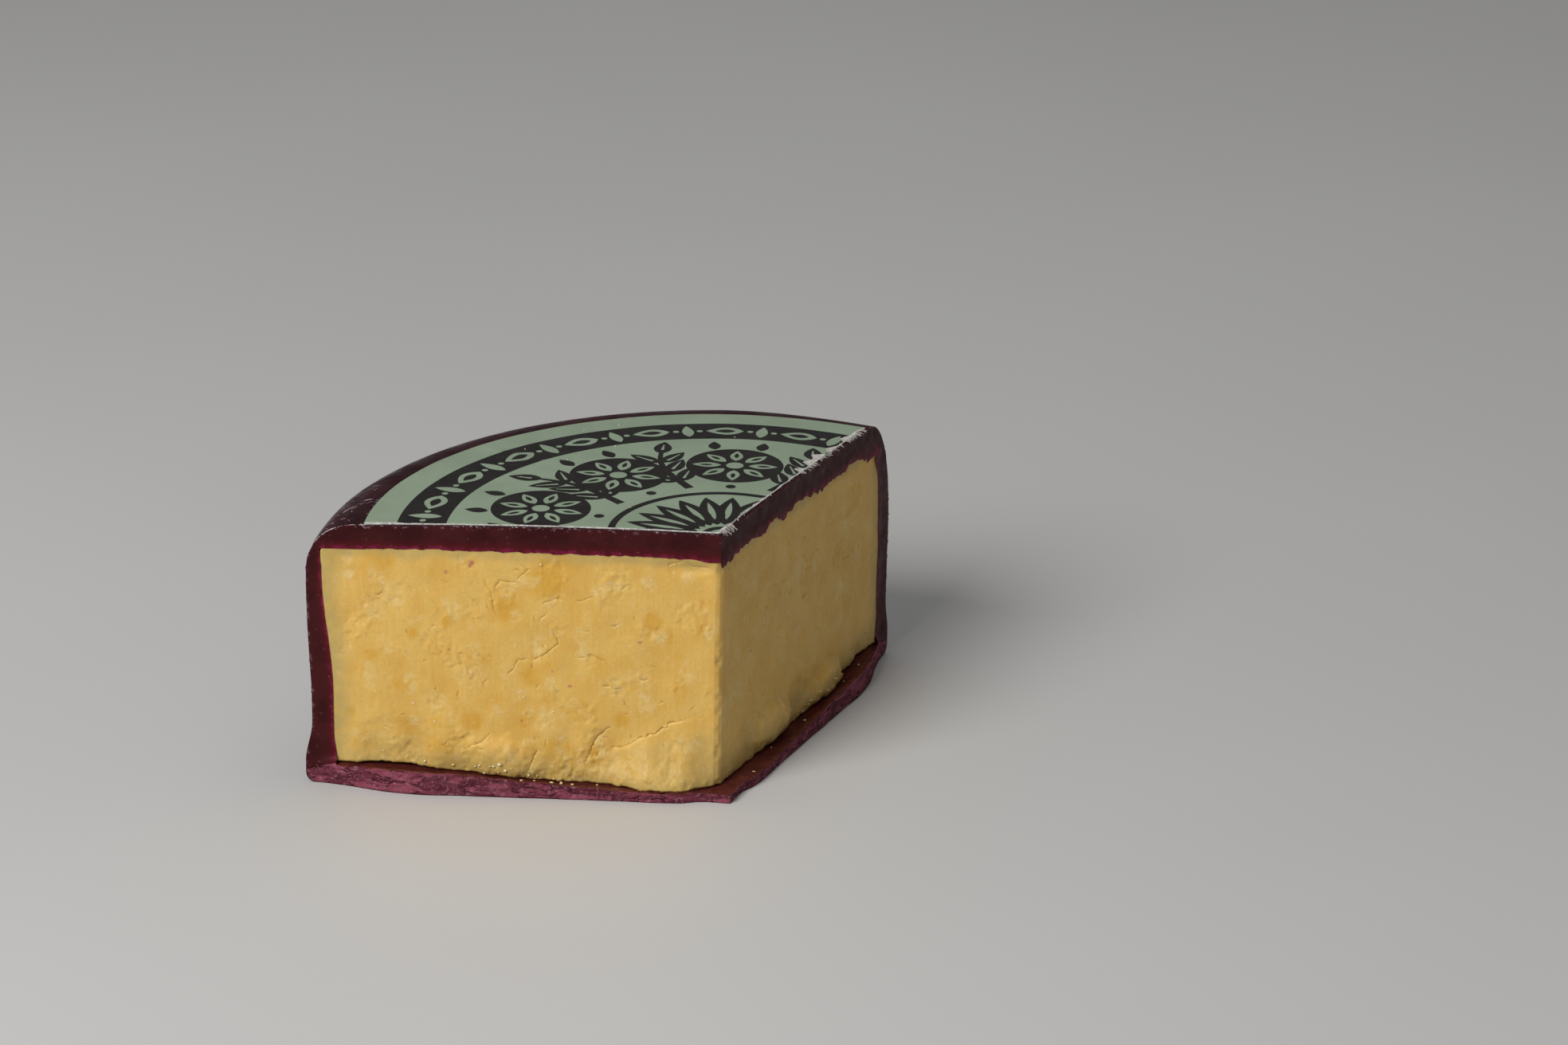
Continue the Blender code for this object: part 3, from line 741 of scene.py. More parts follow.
def outerProfile(angle):
    edge = wheel["labelRadius"] + 0.1
    lip = (edge + 0.2, crown(edge, angle) - 0.1)
    low = lip[1] - shoulderDrop(angle)
    line = [(radius, waxTop(radius, angle)) for radius in between(0.0, edge, waxCoat["topSteps"] - 1)]
    frontShare = ease(angle, wheel["frontCut"] - wheel["slumpTurn"], wheel["frontCut"])
    squareness = waxCoat["squareness"] + (waxCoat["frontSquareness"] - waxCoat["squareness"]) * frontShare
    reach = wallRadius(low, angle) - lip[0]
    line += quarter((lip[0], low), reach, lip[1] - low, squareness, waxCoat["shoulderSteps"])
    corner = waxCoat["footCorner"]
    heights = between(low, waxCoat["footHeight"], waxCoat["wallSteps"])[1:] + footHeights(corner)
    line += [(wallRadius(height, angle), height) for height in heights]
    rim = line[-1][0]
    for i in range(1, waxCoat["cornerSteps"] + 1):
        turn = 0.5 * math.pi * i / waxCoat["cornerSteps"]
        line.append((rim - corner * (1.0 - math.cos(turn)), corner * (1.0 - math.sin(turn))))
    return line + [(radius, 0.0) for radius in between(line[-1][0], 0.0, waxCoat["baseSteps"])[1:]]


def innerProfile(angle):
    # point for point with the outer profile
    low = crown(wheel["labelRadius"], angle) - shoulderDrop(angle)
    ceiling = cavityTop(wheel["cheeseRadius"], angle)
    corner = wheel["cheeseCorner"]
    cornerR = cavityRadius(ceiling, angle) - corner
    cornerZ = ceiling - corner
    radii = between(0.0, wheel["labelRadius"], waxCoat["topSteps"] - 1)
    line = [(radius, cavityTop(radius, angle)) for radius in radii]
    steps = waxCoat["shoulderSteps"] // 2
    line.append(line[-1])
    line += quarter((cornerR, cornerZ), corner, corner, 2.0, steps - 1)
    rim = cavityRadius(0.0, angle)
    heights = between(cornerZ, low, waxCoat["shoulderSteps"] - steps)[1:]
    heights += between(low, waxCoat["footHeight"], waxCoat["wallSteps"])[1:] + footHeights(cavityBase(rim))
    line += [(cavityRadius(height, angle), height) for height in heights]
    radii = between(rim, rim - waxCoat["footCorner"], waxCoat["cornerSteps"])[1:]
    radii += between(radii[-1], 0.0, waxCoat["baseSteps"])[1:]
    return line + [(radius, cavityBase(radius)) for radius in radii]


def ledgeShift(spot):
    # the base is drawn out past both cuts, with a mitred corner between them
    depth = ledge["depth"] * ease(spot.z, ledge["top"] + 0.5, ledge["top"] - 0.5)
    frontNear = ease(-spot.dot(frontOut), ledge["roundCorner"], 0.0)
    sideNear = ease(-spot.dot(sideOut), ledge["roundCorner"], 0.0)
    near = frontNear + sideNear
    if depth == 0.0 or near == 0.0:
        return Vector((0.0, 0.0, 0.0))
    radius = spot.to_2d().length
    depth *= ease(radius, ledge["start"], ledge["full"])
    depth *= 1.0 + ledge["wave"] * lumps(radius, 300.0, spot.z * 0.6, 9.0)
    mitre = ledge["mitre"] * ease(radius, 14.0, 0.0) / math.tan((wheel["frontCut"] - wheel["sideCut"]) / 2.0)
    front = frontOut - frontAlong * mitre
    side = sideOut - sideAlong * mitre
    return (front * frontNear ** 2 + side * sideNear ** 2) * depth / near


def lipLift(spot, radius):
    # the torn edge of the ledge curls up, most half way out, and leaves a groove behind it
    depth = ledge["depth"] * ease(radius, ledge["start"], ledge["full"])
    out = max(spot.dot(frontOut), spot.dot(sideOut))
    if depth < 0.3 or out <= 0.0:
        return 0.0
    lift = float(np.interp(radius, *zip(*ledge["lip"])))
    lift += 0.3 * lumps(spot.x, spot.y, 77.0, 1.8) + 0.3 * lumps(spot.x, spot.y, 77.0, 5.0)
    return lift * ease(out / depth, 0.3, 0.95)


def waxSpot(point, angle, outer):
    radius, height = point
    outwards = Vector((math.cos(angle), math.sin(angle), 0.0))
    spot = outwards * radius + Vector((0.0, 0.0, height))
    if outer and height > 2.0:
        skin = ease(radius, wheel["labelRadius"] + 1.0, wheel["wallRadius"])
        bumps = waxCoat["unevenness"] * lumps(spot.x, spot.y, spot.z, 21.0)
        bumps += waxCoat["dents"] * lumps(spot.x, spot.y, spot.z + 300.0, 6.0)
        spot += outwards * bumps * skin
    spot += ledgeShift(spot)
    if not outer and height < ledge["top"]:
        spot.z += lipLift(spot, radius)
    return spot


def sheetAngles(widest):
    # close steps at both cuts, where the ledge is drawn out, and wider ones between
    near = [0.0, 0.25, 0.55, 0.95, 1.45, 2.05, 2.75, 3.55, 4.45, 5.5, 6.7, 8.0, 9.4]
    side = [wheel["sideCut"] + math.radians(turn) for turn in near]
    front = [wheel["frontCut"] - math.radians(turn) for turn in reversed(near)]
    count = round(math.degrees(front[0] - side[-1]) / widest)
    return side + between(side[-1], front[0], count)[1:-1] + front


def waxSheet(spots, profile, outer):
    # the profile turned through the sector; its ends on the axis stay one point each
    sheet = []
    for j, angle in enumerate(sheetAngles(waxCoat["widestStep"] if outer else waxCoat["innerStep"])):
        points = profile(angle)
        line = []
        for i, point in enumerate(points):
            if j > 0 and i in (0, len(points) - 1):
                line.append(sheet[0][i])
            else:
                line.append(len(spots))
                spots.append(waxSpot(point, angle, outer))
        sheet.append(line)
    return sheet


def smear(along, height, cut):
    # how far the knife dragged wax over the cheese here: in lobes at the side cut, and less
    # down the wall than along the top
    if cut == "front":
        ragged = 0.4 + 0.7 * lumps(along, height, 5.0, 4.2) + 0.45 * lumps(along, height, 5.0, 1.5)
        ragged += 0.3 * lumps(along, height, 5.0, 0.8)
        wall = 0.15
    else:
        ragged = 0.3 + 0.3 * ease(along, 35.0, 60.0) + 0.16 * lumps(along, height, 55.0, 1.0)
        ragged += 0.75 * lumps(along, height, 61.0, 8.0) + 0.35 * lumps(along, height, 55.0, 2.6)
        wall = 0.2
    most = waxCoat[cut + "Smear"] * (wall + (1.0 - wall) * ease(height, 52.0, 60.0))
    return wheel["clearance"] + 0.1 + most * max(0.0, ragged)


def tornFace(along, height, seed):
    # crumbly torn wax: facets with finer grit over them and long level fissures
    coarse = 0.5 * chips(along * 0.7, height, 1.8, seed) + 0.34 * chips(along, height, 0.9, seed + 4.0)
    fissure = ease(abs(lumps(along * 0.3, height, seed + 50.0, 1.5)), 0.1, 0.0)
    fissure *= ease(lumps(along, height, seed + 80.0, 6.0), -0.1, 0.2)
    return ledge["torn"] * (coarse + 0.35 * lumps(along, height, seed, 0.8) - 1.1 * fissure)


def distinct(corners):
    return [corner for n, corner in enumerate(corners) if corner != corners[n - 1]]


def cutWaxFace(spots, faces, finishOf, marks, outerLine, innerLine, cut):
    # the coat's cut face as lines from its outer edge to its inner edge, and round behind the smear
    angle, alongWay, outWay = cuts[cut]
    seed = waxCoat[cut + "Seed"]
    steps = waxCoat["acrossSteps"]
    grid = [outerLine]
    for share in between(0.0, 1.0, steps)[1:]:
        line = []
        for first, last in zip(outerLine, innerLine):
            outer = spots[first]
            inner = spots[last]
            spot = outer.lerp(inner, share)
            along = spot.dot(alongWay)
            # the wax is torn up to the lip, and less high near the rim
            drop = 2.1 * ease(along, 86.0, 95.0)
            torn = ease(0.5 * (outer.z + inner.z), 7.6 - drop, 6.0 - drop)
            reach = (inner - outer).length
            cutAway = (inner - outer).normalized() if reach > 0.01 else Vector((0.0, 0.0, -1.0))
            if len(grid) == 1:
                spot = outer + cutAway * min(reach / steps, waxCoat["edgeRound"])
            smooth = 1.0 - torn
            drag = smear(along, spot.z, cut) * smooth
            spot += cutAway * drag * share ** 3
            bulge = 0.14 * ease(share, 0.55, 0.95) * smooth
            rough = tornFace(along, spot.z, seed) * torn * math.sin(math.pi * min(1.0, share * 1.1)) ** 0.5
            spot += outWay * (bulge + rough + 0.05 * lumps(along, spot.z, seed, 3.0))
            marks[len(spots)] = (ease(share, 0.6, 1.0) * smooth, torn, ease(share, 0.16, 0.0) * smooth)
            line.append(len(spots))
            spots.append(spot)
        grid.append(line)
    grid.append(innerLine)
    for near, far in zip(grid, grid[1:]):
        for i in range(len(outerLine) - 1):
            corners = [near[i], far[i], far[i + 1], near[i + 1]]
            corners = distinct(corners[::-1] if cut == "front" else corners)
            if len(corners) > 2:
                faces.append(corners)
                torn = sum(marks.get(corner, noMarks)[1] for corner in corners) / len(corners)
                finishOf.append(2 if torn > 0.5 else 1)


# A point's shares of smeared edge, torn wax and outer edge
noMarks = (0.0, 0.0, 0.0)


def buildWax():
    spots = []
    faces = []
    finishOf = []
    marks = {}
    outside = waxSheet(spots, outerProfile, True)
    inside = waxSheet(spots, innerProfile, False)
    for sheet, finish in ((outside, 0), (inside, 3)):
        for near, far in zip(sheet, sheet[1:]):
            for i in range(len(near) - 1):
                corners = distinct([near[i], near[i + 1], far[i + 1], far[i]])
                if len(corners) > 2:
                    faces.append(corners if finish == 0 else corners[::-1])
                    finishOf.append(finish)
    cutWaxFace(spots, faces, finishOf, marks, outside[-1], inside[-1], "front")
    cutWaxFace(spots, faces, finishOf, marks, outside[0], inside[0], "side")
    finishes = [pouredWax(), knifeCutWax(), tornWax(), pressedWax()]
    piece = newPiece("waxCoat", spots, faces, finishes, finishOf, 50.0)
    table = [marks.get(k, noMarks) for k in range(len(spots))]
    markPoints(piece, ("smearEdge", "tornShare", "outerEdge"), table)
    cleanMesh(piece, dissolved=0.001)
    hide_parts("wax_coat")


def pouredWax():
    # cheese wax, dipped and polished by handling: deep burgundy, glossy, with pale scuffs
    values = {"IOR": 1.42, "Specular IOR Level": 0.13, "Specular Tint": linear("F0C4CA")}
    finish = Finish("dippedBurgundyWax", values)
    finish.ground(finish.patches(16.0, 0.35, 0.65), "280A10", "350F17")
    foot = finish.spread(add(finish.tree, "SeparateXYZ", "Z", None, None, {0: finish.place}), 0.009, 0.002)
    finish.tint(finish.times(foot, finish.patches(1.6, 0.42, 0.62, 4.0, 0.7)), 0.75, "7A3A4C")
    # hair scratches a few millimetres long, two ways across each other, thinned out to patches
    hair = []
    for turn in ((0.5, 0.3, 0.9), (-0.7, 0.4, -0.6)):
        values = {"Rotation": turn, "Scale": (0.1, 1.0, 1.0)}
        drawn = add(finish.tree, "Mapping", "Vector", None, values, {"Vector": finish.place})
        hair.append(finish.patches(0.7, 0.66, 0.72, 1.0, place=drawn))
    scuffs = finish.times(finish.maths("ADD", *hair), finish.patches(9.0, 0.52, 0.64))
    worn = finish.times(finish.mark("outerEdge"), finish.patches(1.8, 0.54, 0.62))
    scuffs = finish.maths("MAXIMUM", scuffs, worn)
    finish.tint(scuffs, 0.5, "8E6C70")
    rough = finish.patches(5.0, 0.35, 0.65, 4.0, least=0.24, most=0.4)
    rough = finish.maths("ADD", rough, finish.times(foot, 0.3))
    return finish.done([(finish.grains(4.0), 0.12), (finish.grains(0.9), 0.02), (scuffs, 0.04)], rough)


def knifeCutWax():
    # the same wax cut by a knife: satin, smooth, browner, smeared magenta where it thins
    # out over the cheese
    values = {"IOR": 1.42, "Specular IOR Level": 0.12, "Specular Tint": linear("F0C4CA")}
    finish = Finish("knifeCutBurgundyWax", values)
    finish.ground(finish.patches(8.0, 0.35, 0.65), "381517", "441B1D")
    edge = finish.mark("smearEdge")
    finish.tint(edge, 0.6, "5C161C")
    ragged = finish.maths("ADD", edge, finish.times(finish.grains(2.0, 4.0), 1.6))
    finish.tint(finish.spread(ragged, 1.45, 2.05), 0.9, "7A2040")
    finish.tint(finish.patches(1.0, 0.64, 0.72, 3.0, 0.65), 0.3, "9A7070")
    finish.tint(finish.times(finish.mark("outerEdge"), finish.patches(1.8, 0.52, 0.62)), 0.6, "A08088")
    layers = [(finish.grains(2.5), 0.08), (finish.grains(0.6), 0.03)]
    return finish.done(layers, finish.patches(3.0, 0.3, 0.7, least=0.36, most=0.52))


def pressedWax():
    # the wax that lay against the cheese: smooth, brownish red and a little translucent
    finish = Finish("cheeseSideWax", {
        "IOR": 1.42,
        "Specular IOR Level": 0.25,
        "Subsurface Weight": 0.15,
        "Subsurface Radius": (1.0, 0.35, 0.25),
        "Subsurface Scale": 0.002,
    })
    finish.ground(finish.patches(5.0, 0.35, 0.65), "4A1C1B", "5C2722")
    finish.tint(finish.patches(1.6, 0.58, 0.7), 0.15, "96684A")
    return finish.done([(finish.grains(2.0), 0.1)], finish.patches(2.0, 0.3, 0.7, least=0.3, most=0.5))


def tornWax():
    # the base torn off by hand: frosted purple-pink grit, dull, mottled darker and paler, with painted shade
    # in its level cracks
    finish = Finish("tornBurgundyWax", {
        "IOR": 1.42,
        "Specular IOR Level": 0.3,
        "Subsurface Weight": 0.2,
        "Subsurface Radius": (1.0, 0.3, 0.4),
        "Subsurface Scale": 0.0015,
        "Roughness": 0.7,
    })
    # noise drawn out along the ledge
    level = finish.stretched((0.35, 0.35, 1.3))
    finish.ground(finish.patches(2.6, 0.36, 0.64, 6.0, 0.72, place=level), "541727", "904859")
    finish.tint(finish.patches(1.0, 0.53, 0.67, 4.0, 0.75), 0.55, "B8828E")
    cracks = finish.lines(finish.grains(2.6, place=level), 0.03)
    # painted shade: dark lines where the level cracks run; the same mask sinks them as a bump
    shadedCracks = finish.times(cracks, finish.patches(7.0, 0.4, 0.6))
    finish.tint(shadedCracks, 0.85, "38091A")
    layers = [(finish.grains(1.1, 4.0, 0.7), 0.25), (finish.grains(0.5, 3.0, 0.7), 0.1), (shadedCracks, -0.3)]
    return finish.done(layers)


# Paper label
label = {
    "meshStep": 3.0,
    "wave": 0.07,
    "bandInner": 66.5,
    "bandOuter": 78.5,
    "bandMotifs": 15,
    "motifs": 3,
    "sprigInner": 31.0,
    "sprigOuter": 59.0,
    "flowerRadius": 46.5,
    "flowerSize": 12.2,
    "petals": 7,
    "petalInner": 6.0,
    "petalOuter": 24.0,
    # paper torn off along the side cut, as (from, to, depth) along it
    "tears": [(47.0, 71.0, 2.6), (73.5, 85.0, 1.7), (0.0, 6.0, 0.9), (20.0, 27.0, 0.5)],
    "creaseFrom": (-61.7, 55.6),
    "creaseTo": (-45.6, 45.5),
    "crease": 0.12,
    "creaseWidth": 1.6,
}
green, black, bare = range(3)


def polar(radius, angle):
    return Vector((radius * math.cos(angle), radius * math.sin(angle)))


def almond(middle, heading, length, width, steps=9):
    # a leaf or petal with two pointed ends, widest a little before its middle
    way = Vector((math.cos(heading), math.sin(heading)))
    side = Vector((-way.y, way.x))
    points = []
    for hand, order in ((0.5, range(steps + 1)), (-0.5, range(steps - 1, 0, -1))):
        for k in order:
            share = k / steps
            swell = math.sin(math.pi * share ** 0.85) ** 0.9
            points.append(middle + way * (share - 0.5) * length + side * hand * width * swell)
    return points


def disc(middle, radius, steps=24):
    return [middle + polar(radius, 2.0 * math.pi * k / steps) for k in range(steps)]


def ringArc(inner, outer, past, steps):
    # a ring's part in the sector and a little past both cuts
    turns = between(wheel["sideCut"] - past, wheel["frontCut"] + past, steps)
    return [polar(outer, turn) for turn in turns] + [polar(inner, turn) for turn in reversed(turns)]


def stroke(points, widths):
    # a line of changing width
    left = []
    right = []
    for k, point in enumerate(points):
        way = (points[min(len(points) - 1, k + 1)] - points[max(0, k - 1)]).normalized()
        side = Vector((-way.y, way.x)) * 0.5 * widths[k]
        left.append(point + side)
        right.append(point - side)
    return left + right[::-1]


def leafShapes(root, heading, length, width, reach, line, fine):
    # a black leaf with a green line up its middle, which gets this fine at its end
    leaf = almond(root + polar(reach, heading), heading, length, width)
    return [(leaf, black), (stroke([root + polar(s, heading) for s in line], [0.8, fine]), green)]


def sprigShapes(angle, bend):
    # a curved stem with paired leaves and a bud at its tip
    stem = []
    for share in between(0.0, 1.0, 12):
        radius = label["sprigInner"] + (label["sprigOuter"] - label["sprigInner"]) * share
        stem.append(polar(radius, angle + bend * math.sin(math.pi * share) * 0.06))
    shapes = [(stroke(stem, [2.4 - 1.3 * k / 12 for k in range(13)]), black)]
    for k in range(2, 11, 3):
        way = stem[k + 1] - stem[k - 1]
        size = 10.6 - 0.1 * k
        for hand in (-1.0, 1.0):
            lean = math.atan2(way.y, way.x) + hand * math.radians(42.0)
            line = (size * 0.28, size * 0.85)
            shapes += leafShapes(stem[k], lean, size, size * 0.44, size * 0.55, line, 0.25)
    way = stem[-1] - stem[-2]
    return shapes + leafShapes(stem[-1], math.atan2(way.y, way.x), 9.0, 4.6, 2.0, (0.4, 4.2), 0.3)


def flowerShapes(angle, radius, size):
    # a black disc with a ring of knocked-out petals and a green eye
    middle = polar(radius, angle)
    shapes = [(disc(middle, size, 56), black)]
    for k in range(8):
        turn = angle + 2.0 * math.pi * k / 8
        shapes.append((almond(middle + polar(size * 0.58, turn), turn, size * 0.6, size * 0.27, 8), green))
        shapes.append((almond(middle + polar(size * 0.6, turn), turn, size * 0.3, size * 0.1, 6), black))
    return shapes + [(disc(middle, size * 0.18, 18), green)]


def bandShapes():
    # a black ring with green motifs by turns across and along it
    shapes = [(ringArc(label["bandInner"], label["bandOuter"], 0.05, 120), black)]
    middle = 0.5 * (label["bandInner"] + label["bandOuter"])
    for k in range(label["bandMotifs"] + 1):
        angle = wheel["sideCut"] + (wheel["frontCut"] - wheel["sideCut"]) * (k + 0.35) / label["bandMotifs"]
        if k % 2:
            shapes.append((almond(polar(middle, angle), angle + math.pi / 2.0, 9.6, 5.6), green))
            shapes.append((almond(polar(middle, angle), angle + math.pi / 2.0, 5.4, 2.6), black))
        else:
            shapes.append((almond(polar(middle, angle), angle, 8.4, 3.0), green))
            for side in (-0.042, 0.042):
                shapes.append((disc(polar(middle, angle + side), 0.8, 12), green))
    return shapes


def labelShapes():
    # every printed shape with its colour, later ones over earlier ones
    start = wheel["sideCut"]
    width = wheel["frontCut"] - start
    shapes = bandShapes()
    step = width / label["motifs"]
    for k in range(label["motifs"] + 1):
        shapes += sprigShapes(start + step * (k + 0.08), 1.0 if k % 2 else -1.0)
    for k in range(label["motifs"]):
        angle = start + step * (k + 0.58)
        shapes += flowerShapes(angle, label["flowerRadius"], label["flowerSize"])
        for side in (-0.1, 0.1):
            shapes.append((almond(polar(61.2, angle + side), angle + side, 6.0, 3.2), black))
        shapes.append((disc(polar(31.4, angle), 1.3, 14), black))
    shapes.append((ringArc(25.8, 27.6, 0.1, 60), black))
    length = label["petalOuter"] - label["petalInner"]
    for k in range(label["petals"] + 1):
        angle = start + width * (k + 0.2) / label["petals"]
        at = polar(0.5 * (label["petalOuter"] + label["petalInner"]), angle)
        shapes.append((almond(at, angle, length, 6.2, 12), black))
        shapes.append((almond(at, angle, length * 0.62, 1.6, 8), green))
    return shapes + [(ringArc(3.0, 4.8, 0.3, 24), black)]


def labelOutline():
    # the sector, set back from both cuts, with worn edges
    half = (wheel["frontCut"] - wheel["sideCut"]) / 2.0
    middle = (wheel["frontCut"] + wheel["sideCut"]) / 2.0
    tip = polar(wheel["labelSetback"] / math.sin(half), middle)
    trim = math.asin(wheel["labelSetback"] / wheel["labelRadius"])
    turns = between(wheel["sideCut"] + trim, wheel["frontCut"] - trim, 130)
    arc = [polar(wheel["labelRadius"], turn) for turn in turns]
    points = [tip]
    for share in between(0.0, 1.0, 110)[1:-1]:
        along = share * 86.0
        worn = max(0.0, 0.35 * lumps(along, 3.0, 8.0, 2.2) + 0.25 * lumps(along, 3.0, 8.0, 0.9))
        points.append(tip.lerp(arc[0], share) - sideOut.to_2d() * worn)
    points += arc
    for share in between(0.0, 1.0, 90)[1:-1]:
        worn = max(0.0, 0.12 * lumps(share * 86.0, 5.0, 2.0, 3.0))
        points.append(arc[-1].lerp(tip, share) - frontOut.to_2d() * worn)
    return points


def sideBite(along):
    bite = 0.2 + 0.4 * abs(lumps(along, 40.0, 2.0, 1.1))
    for first, last, depth in label["tears"]:
        here = ease(along, first - 1.0, first + 1.5) * ease(along, last + 1.0, last - 1.5)
        bite += depth * here * max(0.0, 0.45 + 1.3 * lumps(along, 40.0, 2.0, 4.0))
    return bite


def frontBite(along):
    return 0.3 + 0.35 * max(0.0, lumps(along, 9.0, 2.0, 2.4)) + 0.55 * ease(along, 76.0, 80.0)


def tornStrip(cut, reach, steps, biteAt):
    # bare paper where the printed face tore away: wide ragged bites along the side cut and
    # a hairline along the front cut
    angle, alongWay, outWay = cuts[cut]
    inner = []
    outer = []
    for along in [0.4 + reach * share for share in between(0.0, 1.0, steps)]:
        inner.append((alongWay * along - outWay * (wheel["labelSetback"] + biteAt(along))).to_2d())
        outer.append((alongWay * along + outWay * 2.0).to_2d())
    return inner + outer[::-1], bare


def labelHeight(place, isBare):
    # the paper lies in faint waves, has one crease and lifts a little along the side cut
    radius = place.length
    height = crown(radius, math.atan2(place.y, place.x))
    height += label["wave"] * (lumps(place.x, place.y, 0.0, 13.0) - 0.5)
    start = Vector(label["creaseFrom"])
    way = Vector(label["creaseTo"]) - start
    share = (place - start).dot(way) / way.length_squared
    away = (place - start - way * min(1.0, max(0.0, share))).length
    height += label["crease"] * ease(away, label["creaseWidth"], 0.0)
    toSide = -place.dot(sideOut.to_2d()) - wheel["labelSetback"]
    lift = max(0.0, lumps(radius, 90.0, 4.0, 5.0)) * ease(toSide, 3.0, 0.0)
    return height + (0.5 * lift - (0.1 if isBare else 0.0))


def labelPattern():
    # the label's points, the loops of its outline and every shape, and each shape's colour
    shapes = labelShapes()
    shapes += [tornStrip("side", 86.0, 170, sideBite), tornStrip("front", 87.0, 150, frontBite)]
    points = labelOutline()
    loops = [list(range(len(points)))]
    for shape, finish in shapes:
        # each shape's corners run anticlockwise, so that its inside is what it fills
        area = sum(a.cross(b) for a, b in zip(shape, shape[1:] + shape[:1]))
        loops.append(list(range(len(points), len(points) + len(shape))))
        points += shape if area > 0.0 else shape[::-1]
    step = label["meshStep"]
    for row in range(int(90.0 / step)):
        for column in range(-int(90.0 / step), int(60.0 / step)):
            place = Vector(((column + 0.5 * (row % 2)) * step, row * step * 0.87))
            if place.length < wheel["labelRadius"] - 1.0:
                points.append(place)
    start, end = Vector(label["creaseFrom"]), Vector(label["creaseTo"])
    across = Vector((start.y - end.y, end.x - start.x)).normalized()
    wide = label["creaseWidth"]
    for share in between(0.0, 1.0, 24):
        points += [start.lerp(end, share) + across * side for side in (-wide, 0.0, wide)]
    return points, loops, [green] + [finish for shape, finish in shapes]


def buildLabel():
    points, loops, finishOfLoop = labelPattern()
    flat, edges, faces, a, b, owners = geometry.delaunay_2d_cdt(points, [], loops, 0, 1e-5, True)
    kept = [(corners, finishOfLoop[max(owner)]) for corners, owner in zip(faces, owners) if 0 in owner]
    printed = {k for corners, finish in kept if finish != bare for k in corners}
    used = sorted({k for corners, finish in kept for k in corners})
    place = {k: n for n, k in enumerate(used)}
    upper = [(flat[k].x, flat[k].y, labelHeight(flat[k], k not in printed)) for k in used]
    depth = wheel["labelThickness"]
    lower = [(x, y, crown(math.hypot(x, y), math.atan2(y, x)) - depth) for x, y, z in upper]
    top = [[place[k] for k in corners] for corners, finish in kept]
    # the edges that only one face has are the paper's own edge
    sides = {}
    for corners in top:
        for n, k in enumerate(corners):
            if sides.pop((k, corners[n - 1]), None) is None:
                sides[(corners[n - 1], k)] = True
    count = len(used)
    under = [[count + k for k in reversed(corners)] for corners in top]
    walls = [[second, first, count + first, count + second] for first, second in sides]
    finishOf = [finish for corners, finish in kept] + [bare] * (len(under) + len(walls))
    faces = top + under + walls
    finishes = [printedPaper(), printInk(), barePaper()]
    piece = newPiece("paperLabel", upper + lower, faces, finishes, finishOf, 40.0)
    cleanMesh(piece)
    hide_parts("label")


def printedPaper():
    # coated paper, offset printed sage green: even colour, soft sheen, faint fibre mottling
    finish = Finish("sagePrintedPaper", {"IOR": 1.5, "Specular IOR Level": 0.4})
    finish.ground(finish.patches(14.0, 0.35, 0.65), "8A9B83", "92A38B")
    finish.tint(finish.patches(0.7, 0.35, 0.7, 3.0, 0.7), 0.25, "9DAC95")
    layers = [(finish.grains(6.0, 2.0), 0.05), (finish.grains(0.5, 2.0), 0.008)]
    return finish.done(layers, finish.patches(4.0, 0.3, 0.7, least=0.36, most=0.5))


def printInk():
    # heavy black ink on the same paper: warm off-black, a little smoother
    finish = Finish("blackPrintInk", {"IOR": 1.5, "Specular IOR Level": 0.25})
    finish.ground(finish.patches(10.0, 0.35, 0.65), "191614", "211E1B")
    layers = [(finish.grains(6.0, 2.0), 0.05), (finish.grains(0.5, 2.0), 0.008)]
    return finish.done(layers, finish.patches(3.0, 0.3, 0.7, least=0.34, most=0.46))


def barePaper():
    # the white core of the paper where the printed face is torn off: fuzzy and matt
    finish = Finish("tornPaperFibres", {"Roughness": 0.9, "IOR": 1.5})
    finish.ground(finish.patches(0.8, 0.35, 0.65, 4.0, 0.7), "A9A39C", "DAD7CF")
    return finish.done([(finish.grains(0.7, 3.0, 0.7), 0.12)])


# Burrs of scraped wax along the coat's edges and loose flakes on the shoulder, paler than the
# wax because they are thin and scuffed
burrs = {"shoulder": 30, "wall": 12, "top": 26, "side": 24, "flakes": 34, "seed": 17}

# Bundles of fine scratches on the skin near the front cut: degrees behind the cut, radius, number
# and greatest length
scratches = [
    (8.0, 92.0, 9, 3.2), (10.5, 89.5, 6, 2.6), (7.0, 95.0, 4, 2.2), (17.0, 91.0, 4, 2.0),
    (3.0, 100.0, 7, 1.8),
]


def thinBody(spots, faces, rings):
    # joins rings of three places into one closed body
    rows = []
    for ring in rings:
        rows.append(list(range(len(spots), len(spots) + 3)))
        spots += [tuple(spot) for spot in ring]
    for lower, upper in zip(rows, rows[1:]):
        for k, n in ((0, 1), (1, 2), (2, 0)):
            faces.append([lower[k], lower[n], upper[n], upper[k]])
    faces.append(rows[0][::-1])
    faces.append(rows[-1])


def burr(spots, faces, start, way, away, length, width, lift, draw):
    # a curling sliver: a row of points with a ragged width that stands off the wax
    rings = []
    for share in between(0.0, 1.0, 4):
        taper = max(0.15, math.sin(math.pi * (0.12 + 0.76 * share)))
        middle = start + way * length * (share - 0.5)
        middle += away * lift * (0.4 + 0.6 * math.sin(math.pi * share)) * draw.uniform(0.6, 1.2)
        across = away.cross(way).normalized() * 0.5 * width * taper * draw.uniform(0.6, 1.3)
        rings.append((middle + across, middle - across, middle - away * 0.14))
    thinBody(spots, faces, rings)


